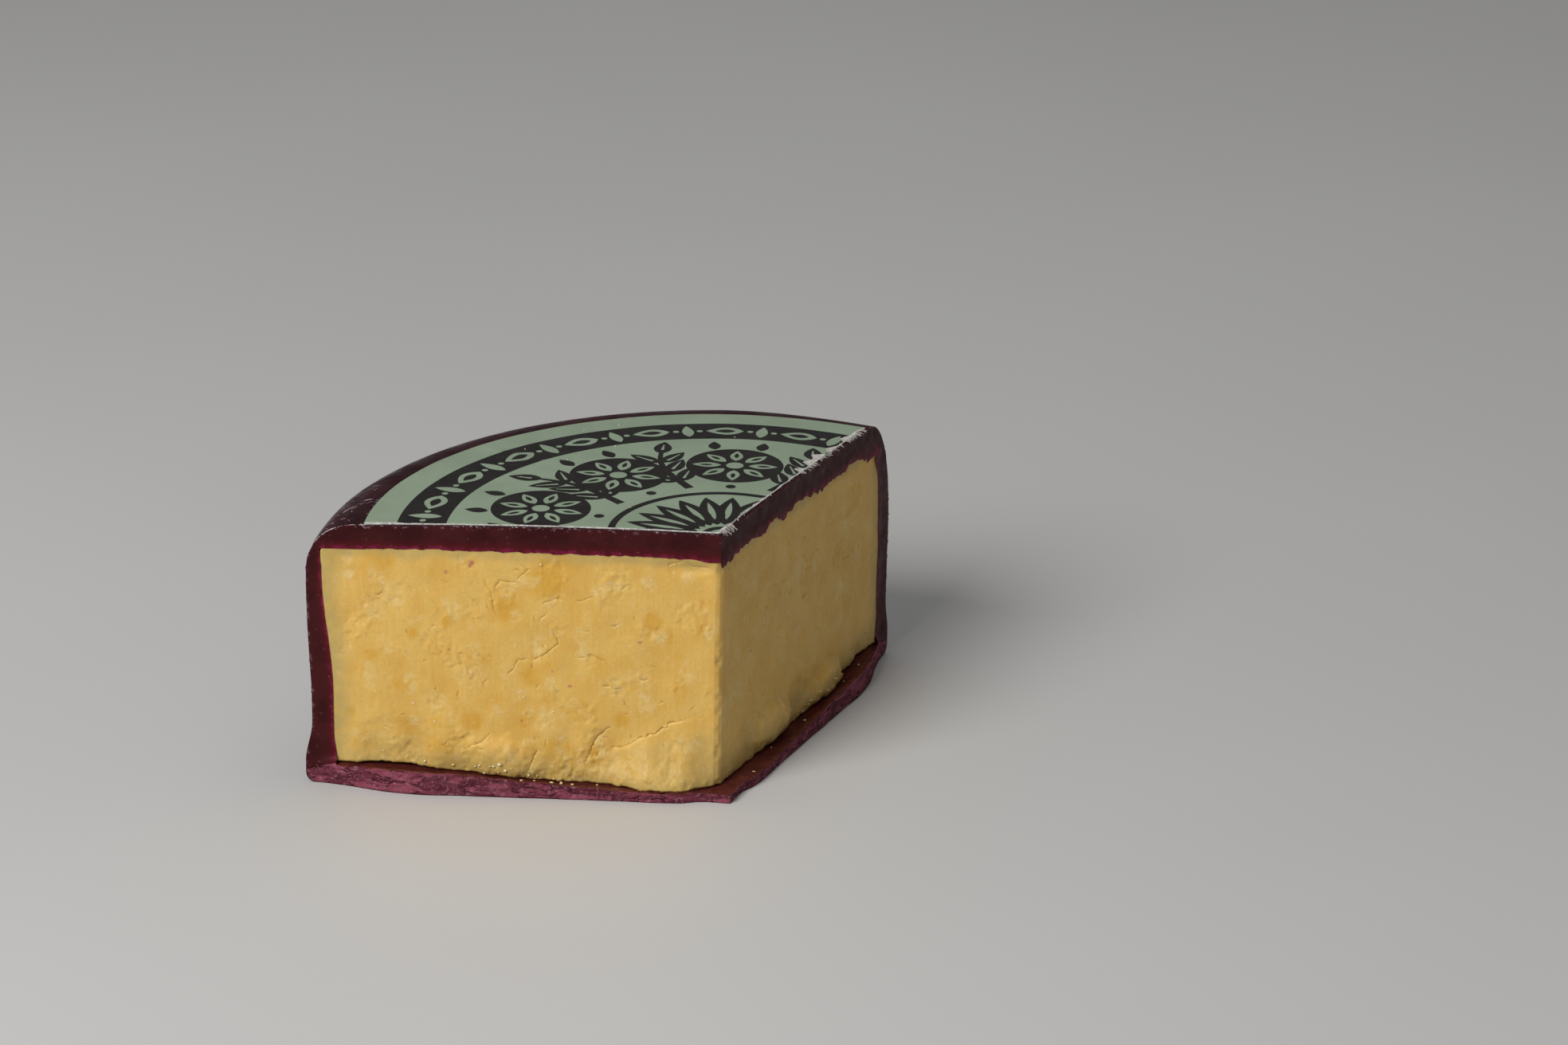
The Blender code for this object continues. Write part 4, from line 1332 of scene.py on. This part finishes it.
def onSkin(profile, index, angle, level):
    # a place on the wax's skin, with the way down its profile and the way off it
    start = waxSpot(profile[index], angle, True)
    down = (waxSpot(profile[index + 1], angle, True) - start).normalized()
    away = down.cross(level).normalized()
    return start, down, -away if away.dot(start) < 0.0 else away


def edgeBurrs(spots, faces, profiles, groups, draw):
    for group, indices in groups.items():
        cut = "side" if group == "side" else "front"
        angle, alongWay, outWay = cuts[cut]
        for k in range(burrs[group]):
            index = draw.choice(indices[:-1])
            start, way, away = onSkin(profiles[cut], index, angle, outWay)
            away = (away + outWay * draw.uniform(0.2, 1.2)).normalized()
            long = draw.uniform(0.4, 1.9) if group == "shoulder" else draw.uniform(0.3, 1.1)
            width = draw.uniform(0.08, 0.24)
            burr(spots, faces, start, way, away, long, width, draw.uniform(0.02, 0.2), draw)


def buildBurrs():
    draw = random.Random(burrs["seed"])
    spots = []
    faces = []
    profiles = {cut: outerProfile(cuts[cut][0]) for cut in cuts}
    line = list(enumerate(profiles["front"]))
    shoulder = [k for k, (radius, height) in line if 55.0 < height and radius > 84.0]
    wall = [k for k, (radius, height) in line if 20.0 < height < 55.0 and radius > 84.0]
    top = [k for k, (radius, height) in line if radius < 84.0 and height > 60.0]
    groups = {"shoulder": shoulder, "wall": wall, "top": top, "side": shoulder + wall}
    edgeBurrs(spots, faces, profiles, groups, draw)
    for k in range(burrs["flakes"]):
        # flakes lie on the shoulder behind the cut
        index = draw.choice(shoulder[:-4])
        angle = wheel["frontCut"] - math.radians(1.0 + 14.0 * draw.random())
        around = Vector((-math.sin(angle), math.cos(angle), 0.0))
        start, down, away = onSkin(outerProfile(angle), index, angle, around)
        way = (down * draw.uniform(-0.5, 1.0) + around * draw.uniform(-1.0, 1.0)).normalized()
        burr(spots, faces, start, way, away, draw.uniform(0.5, 1.8), draw.uniform(0.12, 0.26), 0.08, draw)
    for turn, radius, count, long in scratches:
        for k in range(count):
            angle = wheel["frontCut"] - math.radians(turn + draw.uniform(-1.3, 1.3))
            around = Vector((-math.sin(angle), math.cos(angle), 0.0))
            profile = outerProfile(angle)
            near = radius + draw.uniform(-1.2, 1.2)
            index = min(shoulder[:-2], key=lambda n: abs(profile[n][0] - near))
            start, down, away = onSkin(profile, index, angle, around)
            way = (down * draw.uniform(0.3, 0.8) + around * draw.uniform(0.6, 0.9)).normalized()
            length = long * draw.uniform(0.4, 1.0)
            burr(spots, faces, start, way, away, length, draw.uniform(0.1, 0.2), 0.05, draw)
    newPiece("scrapedWaxBurrs", spots, faces, [scrapedWax()])


def scrapedWax():
    # thin shavings of the same wax: scuffed, cloudy, mauve-white against the dark skin
    finish = Finish("scrapedWaxShavings", {"Roughness": 0.6, "IOR": 1.42})
    finish.ground(finish.patches(2.5, 0.38, 0.62), "7A4A56", "CDB8BC")
    return finish.done([(finish.grains(0.6), 0.04)])


# Torn fibres of paper that hang over the label's edges
fibres = {"side": 170, "front": 26, "tip": 34, "seed": 5, "thickness": 0.12}


def fibre(spots, faces, root, heading, length, width, droop):
    # a narrow tapered strip, curling down, with a little thickness
    side = Vector((-heading.y, heading.x, 0.0)).normalized() * 0.5 * width
    rings = []
    for share in between(0.0, 1.0, 3):
        rise = Vector((0.0, 0.0, 0.12 * length * share - droop * share ** 2))
        place = root + heading * length * share + rise
        across = side * (1.0 - 0.8 * share)
        rings.append((place - across, place + across, place - Vector((0.0, 0.0, fibres["thickness"]))))
    thinBody(spots, faces, rings)


def buildFibres():
    draw = random.Random(fibres["seed"])
    spots = []
    faces = []
    for group in ("side", "front", "tip"):
        angle, alongWay, outWay = cuts["front" if group == "front" else "side"]
        for k in range(fibres[group]):
            if group == "side":
                # most of them hang where the paper tore
                first, last, depth = label["tears"][0] if draw.random() < 0.6 else label["tears"][1]
                along = draw.uniform(first, last) if k % 3 else draw.uniform(2.0, 85.0)
                length = draw.uniform(0.4, 2.0) if k % 3 else draw.uniform(0.3, 0.8)
            elif group == "front":
                along = draw.uniform(2.0, 84.0)
                length = draw.uniform(0.3, 0.7)
            else:
                along = draw.uniform(0.5, 7.0)
                length = draw.uniform(1.0, 2.6)
            root = alongWay * along - outWay * (wheel["labelSetback"] + draw.uniform(0.0, 0.5))
            root.z = crown(root.to_2d().length, math.atan2(root.y, root.x)) - draw.uniform(0.02, 0.2)
            heading = (outWay + alongWay * draw.uniform(-1.3, 1.3)).normalized()
            droop = draw.uniform(0.3, 1.3) if group == "tip" else draw.uniform(0.0, 0.5)
            fibre(spots, faces, root, heading, length, draw.uniform(0.15, 0.45), droop)
    newPiece("tornPaperFibres", spots, faces, [barePaper()])


# Crumbs of cheese on the ledge, its foot and the label
crumbs = {
    "frontLedge": 12,
    "sideLedge": 16,
    "clinging": 60,
    "foot": 14,
    "top": 8,
    "least": 0.25,
    "most": 1.0,
    "seed": 41,
    # those that show in front, as (along, out, size)
    "placed": [
        (43.5, 2.9, 0.85), (39.6, 2.4, 0.75), (36.8, 3.5, 1.0), (29.8, 3.3, 1.0),
        (41.0, 1.2, 0.85), (38.6, 1.3, 1.1), (35.9, 1.5, 0.7), (48.4, 1.4, 0.8),
    ],
}


def crumb(spots, faces, centre, size, draw):
    # an uneven lump from a subdivided icosahedron
    ball = bmesh.new()
    bmesh.ops.create_icosphere(ball, subdivisions=2, radius=1.0)
    turn = Matrix.Rotation(draw.uniform(0.0, 6.28), 3, Vector((draw.random(), draw.random(), 1.0)))
    stretch = Vector((draw.uniform(0.7, 1.25), draw.uniform(0.6, 1.0), draw.uniform(0.45, 0.75)))
    seed = draw.uniform(0.0, 900.0)
    start = len(spots)
    for vertex in ball.verts:
        shape = 1.0 + 0.45 * noise.noise(vertex.co * 1.4 + Vector((seed, 0.0, 0.0)))
        spot = turn @ vertex.co
        spot = Vector(a * b for a, b in zip(spot, stretch)) * shape * size * 0.5
        spots.append(tuple(centre + spot))
    for face in ball.faces:
        faces.append([start + vertex.index for vertex in face.verts])
    ball.free()


def onLedge(spots, faces, cut, along, out, size, draw):
    # the ledge's top is the wax under the cheese, drawn out level
    angle, alongWay, outWay = cuts[cut]
    spot = alongWay * along + outWay * out
    spot.z = cavityBase(along) + 0.16 * size
    if out < ledge["depth"] * ease(along, ledge["start"], ledge["full"]) * 0.86:
        crumb(spots, faces, spot, size, draw)


def buildCrumbs():
    draw = random.Random(crumbs["seed"])
    spots = []
    faces = []
    for along, out, size in crumbs["placed"]:
        onLedge(spots, faces, "front", along, out, size, draw)
    for cut in cuts:
        for k in range(crumbs[cut + "Ledge"]):
            size = crumbs["least"] + (crumbs["most"] - crumbs["least"]) * draw.random() ** 2.5
            along = draw.uniform(6.0, 80.0)
            onLedge(spots, faces, cut, along, draw.uniform(0.6, 4.6), size, draw)
    # crumbs that cling to the cuts, most of them near the torn foot
    for cut, (angle, alongWay, outWay) in cuts.items():
        for k in range(crumbs["clinging"]):
            along = draw.uniform(4.0, 92.0)
            height = 7.0 + 54.0 * draw.random() ** 2.2
            size = crumbs["least"] + 0.5 * draw.random() ** 2.0
            if k < crumbs["foot"]:
                along = draw.gauss(56.0, 7.0)
                height = cheeseLow(along) + draw.uniform(0.2, 3.5)
                size = draw.uniform(0.4, 1.1)
            spot = alongWay * along + outWay * (cutRelief(cut, along, height) + 0.1 * size)
            spot.z = height
            crumb(spots, faces, spot, size, draw)
    for k in range(crumbs["top"]):
        radius = 84.0 * math.sqrt(draw.random())
        angle = draw.uniform(wheel["sideCut"] + 0.05, wheel["frontCut"] - 0.05)
        size = draw.uniform(0.25, 0.5)
        level = crown(radius, angle) + 0.1 * size
        place = Vector((radius * math.cos(angle), radius * math.sin(angle), level))
        crumb(spots, faces, place, size, draw)
    newPiece("cheeseCrumbs", spots, faces, [driedCrumb()], None, 60.0)


def driedCrumb():
    # crumbs dry out first: paler, matt, a touch translucent
    finish = Finish("driedCheddarCrumb", {
        "Roughness": 0.6,
        "IOR": 1.44,
        "Subsurface Weight": 0.3,
        "Subsurface Radius": (1.0, 0.6, 0.3),
        "Subsurface Scale": 0.0008,
    })
    finish.ground(finish.patches(1.5, 0.35, 0.65), "E2C488", "ECD9AE")
    return finish.done([(finish.grains(0.5), 0.05)])


# Studio
studio = {
    "floorSize": 6.0,
    "worldStrength": 0.19,
    "keyPower": 22.0,
    "keySize": 0.9,
    "keyPlace": (-0.75, -1.0, 1.05),
    "topPower": 3.0,
    "topSize": 1.4,
    "topPlace": (0.15, 0.35, 1.5),
    "aim": Vector((0.0, 0.0, 0.03)),
}


def studioFloor():
    # pale matt backdrop card, almost even in colour
    finish = Finish("paleStudioFloor", {"Roughness": 0.6})
    finish.ground(finish.patches(400.0, 0.3, 0.7), "C9C8C6", "CDCCCA")
    return finish.done([])


def buildStudio():
    size = studio["floorSize"]
    mesh = bpy.data.meshes.new("floor")
    corners = [(-size, -size, 0), (size, -size, 0), (size, size, 0), (-size, size, 0)]
    mesh.from_pydata(corners, [], [(0, 1, 2, 3)])
    floor = bpy.data.objects.new("floor", mesh)
    bpy.context.scene.collection.objects.link(floor)
    mesh.materials.append(studioFloor())
    world = bpy.data.worlds.new("softRoom")
    bpy.context.scene.world = world
    world.use_nodes = True
    world.node_tree.nodes["Background"].inputs["Color"].default_value = linear("E9E9EA")
    world.node_tree.nodes["Background"].inputs["Strength"].default_value = studio["worldStrength"]
    for name in ("key", "top"):
        light = bpy.data.lights.new(name, "AREA")
        light.shape = "DISK"
        light.energy = studio[name + "Power"]
        light.size = studio[name + "Size"]
        lamp = bpy.data.objects.new(name + "Light", light)
        bpy.context.scene.collection.objects.link(lamp)
        lamp.location = studio[name + "Place"]
        lamp.rotation_mode = "QUATERNION"
        lamp.rotation_quaternion = (studio["aim"] - lamp.location).to_track_quat("-Z", "Y")


# The photograph's viewing angle: the lens stands about a metre in front, looking down
view = {
    "place": (53.86, -1013.88, 464.9),   # from the wheel's axis
    "yaw": 2.2,
    "pitch": 21.15,
    "roll": 1.0,
    "lens": 104.23,
    "sensor": 36.0,
}


def buildCamera():
    yaw, pitch, roll = (math.radians(view[key]) for key in ("yaw", "pitch", "roll"))
    look = Vector((-math.sin(yaw) * math.cos(pitch), math.cos(yaw) * math.cos(pitch), -math.sin(pitch)))
    level = Vector((math.cos(yaw), math.sin(yaw), 0.0))
    above = level.cross(look)
    right = level * math.cos(roll) + above * math.sin(roll)
    up = above * math.cos(roll) - level * math.sin(roll)
    camera = bpy.data.objects.new("camera", bpy.data.cameras.new("camera"))
    bpy.context.scene.collection.objects.link(camera)
    camera.data.lens = view["lens"]
    camera.data.sensor_width = view["sensor"]
    camera.data.clip_start = 0.01
    place = Matrix((right, up, -look)).transposed().to_4x4()
    place.translation = axisPlace + Vector(view["place"]) * mm
    camera.matrix_world = place
    bpy.context.scene.camera = camera


bpy.context.scene.view_settings.view_transform = "Standard"
buildCheese()
print("cheese built")
buildWax()
print("wax coat built")
buildBurrs()
buildLabel()
buildFibres()
print("label built")
buildCrumbs()
print("crumbs built")
buildStudio()
buildCamera()
print("studio and camera ready")
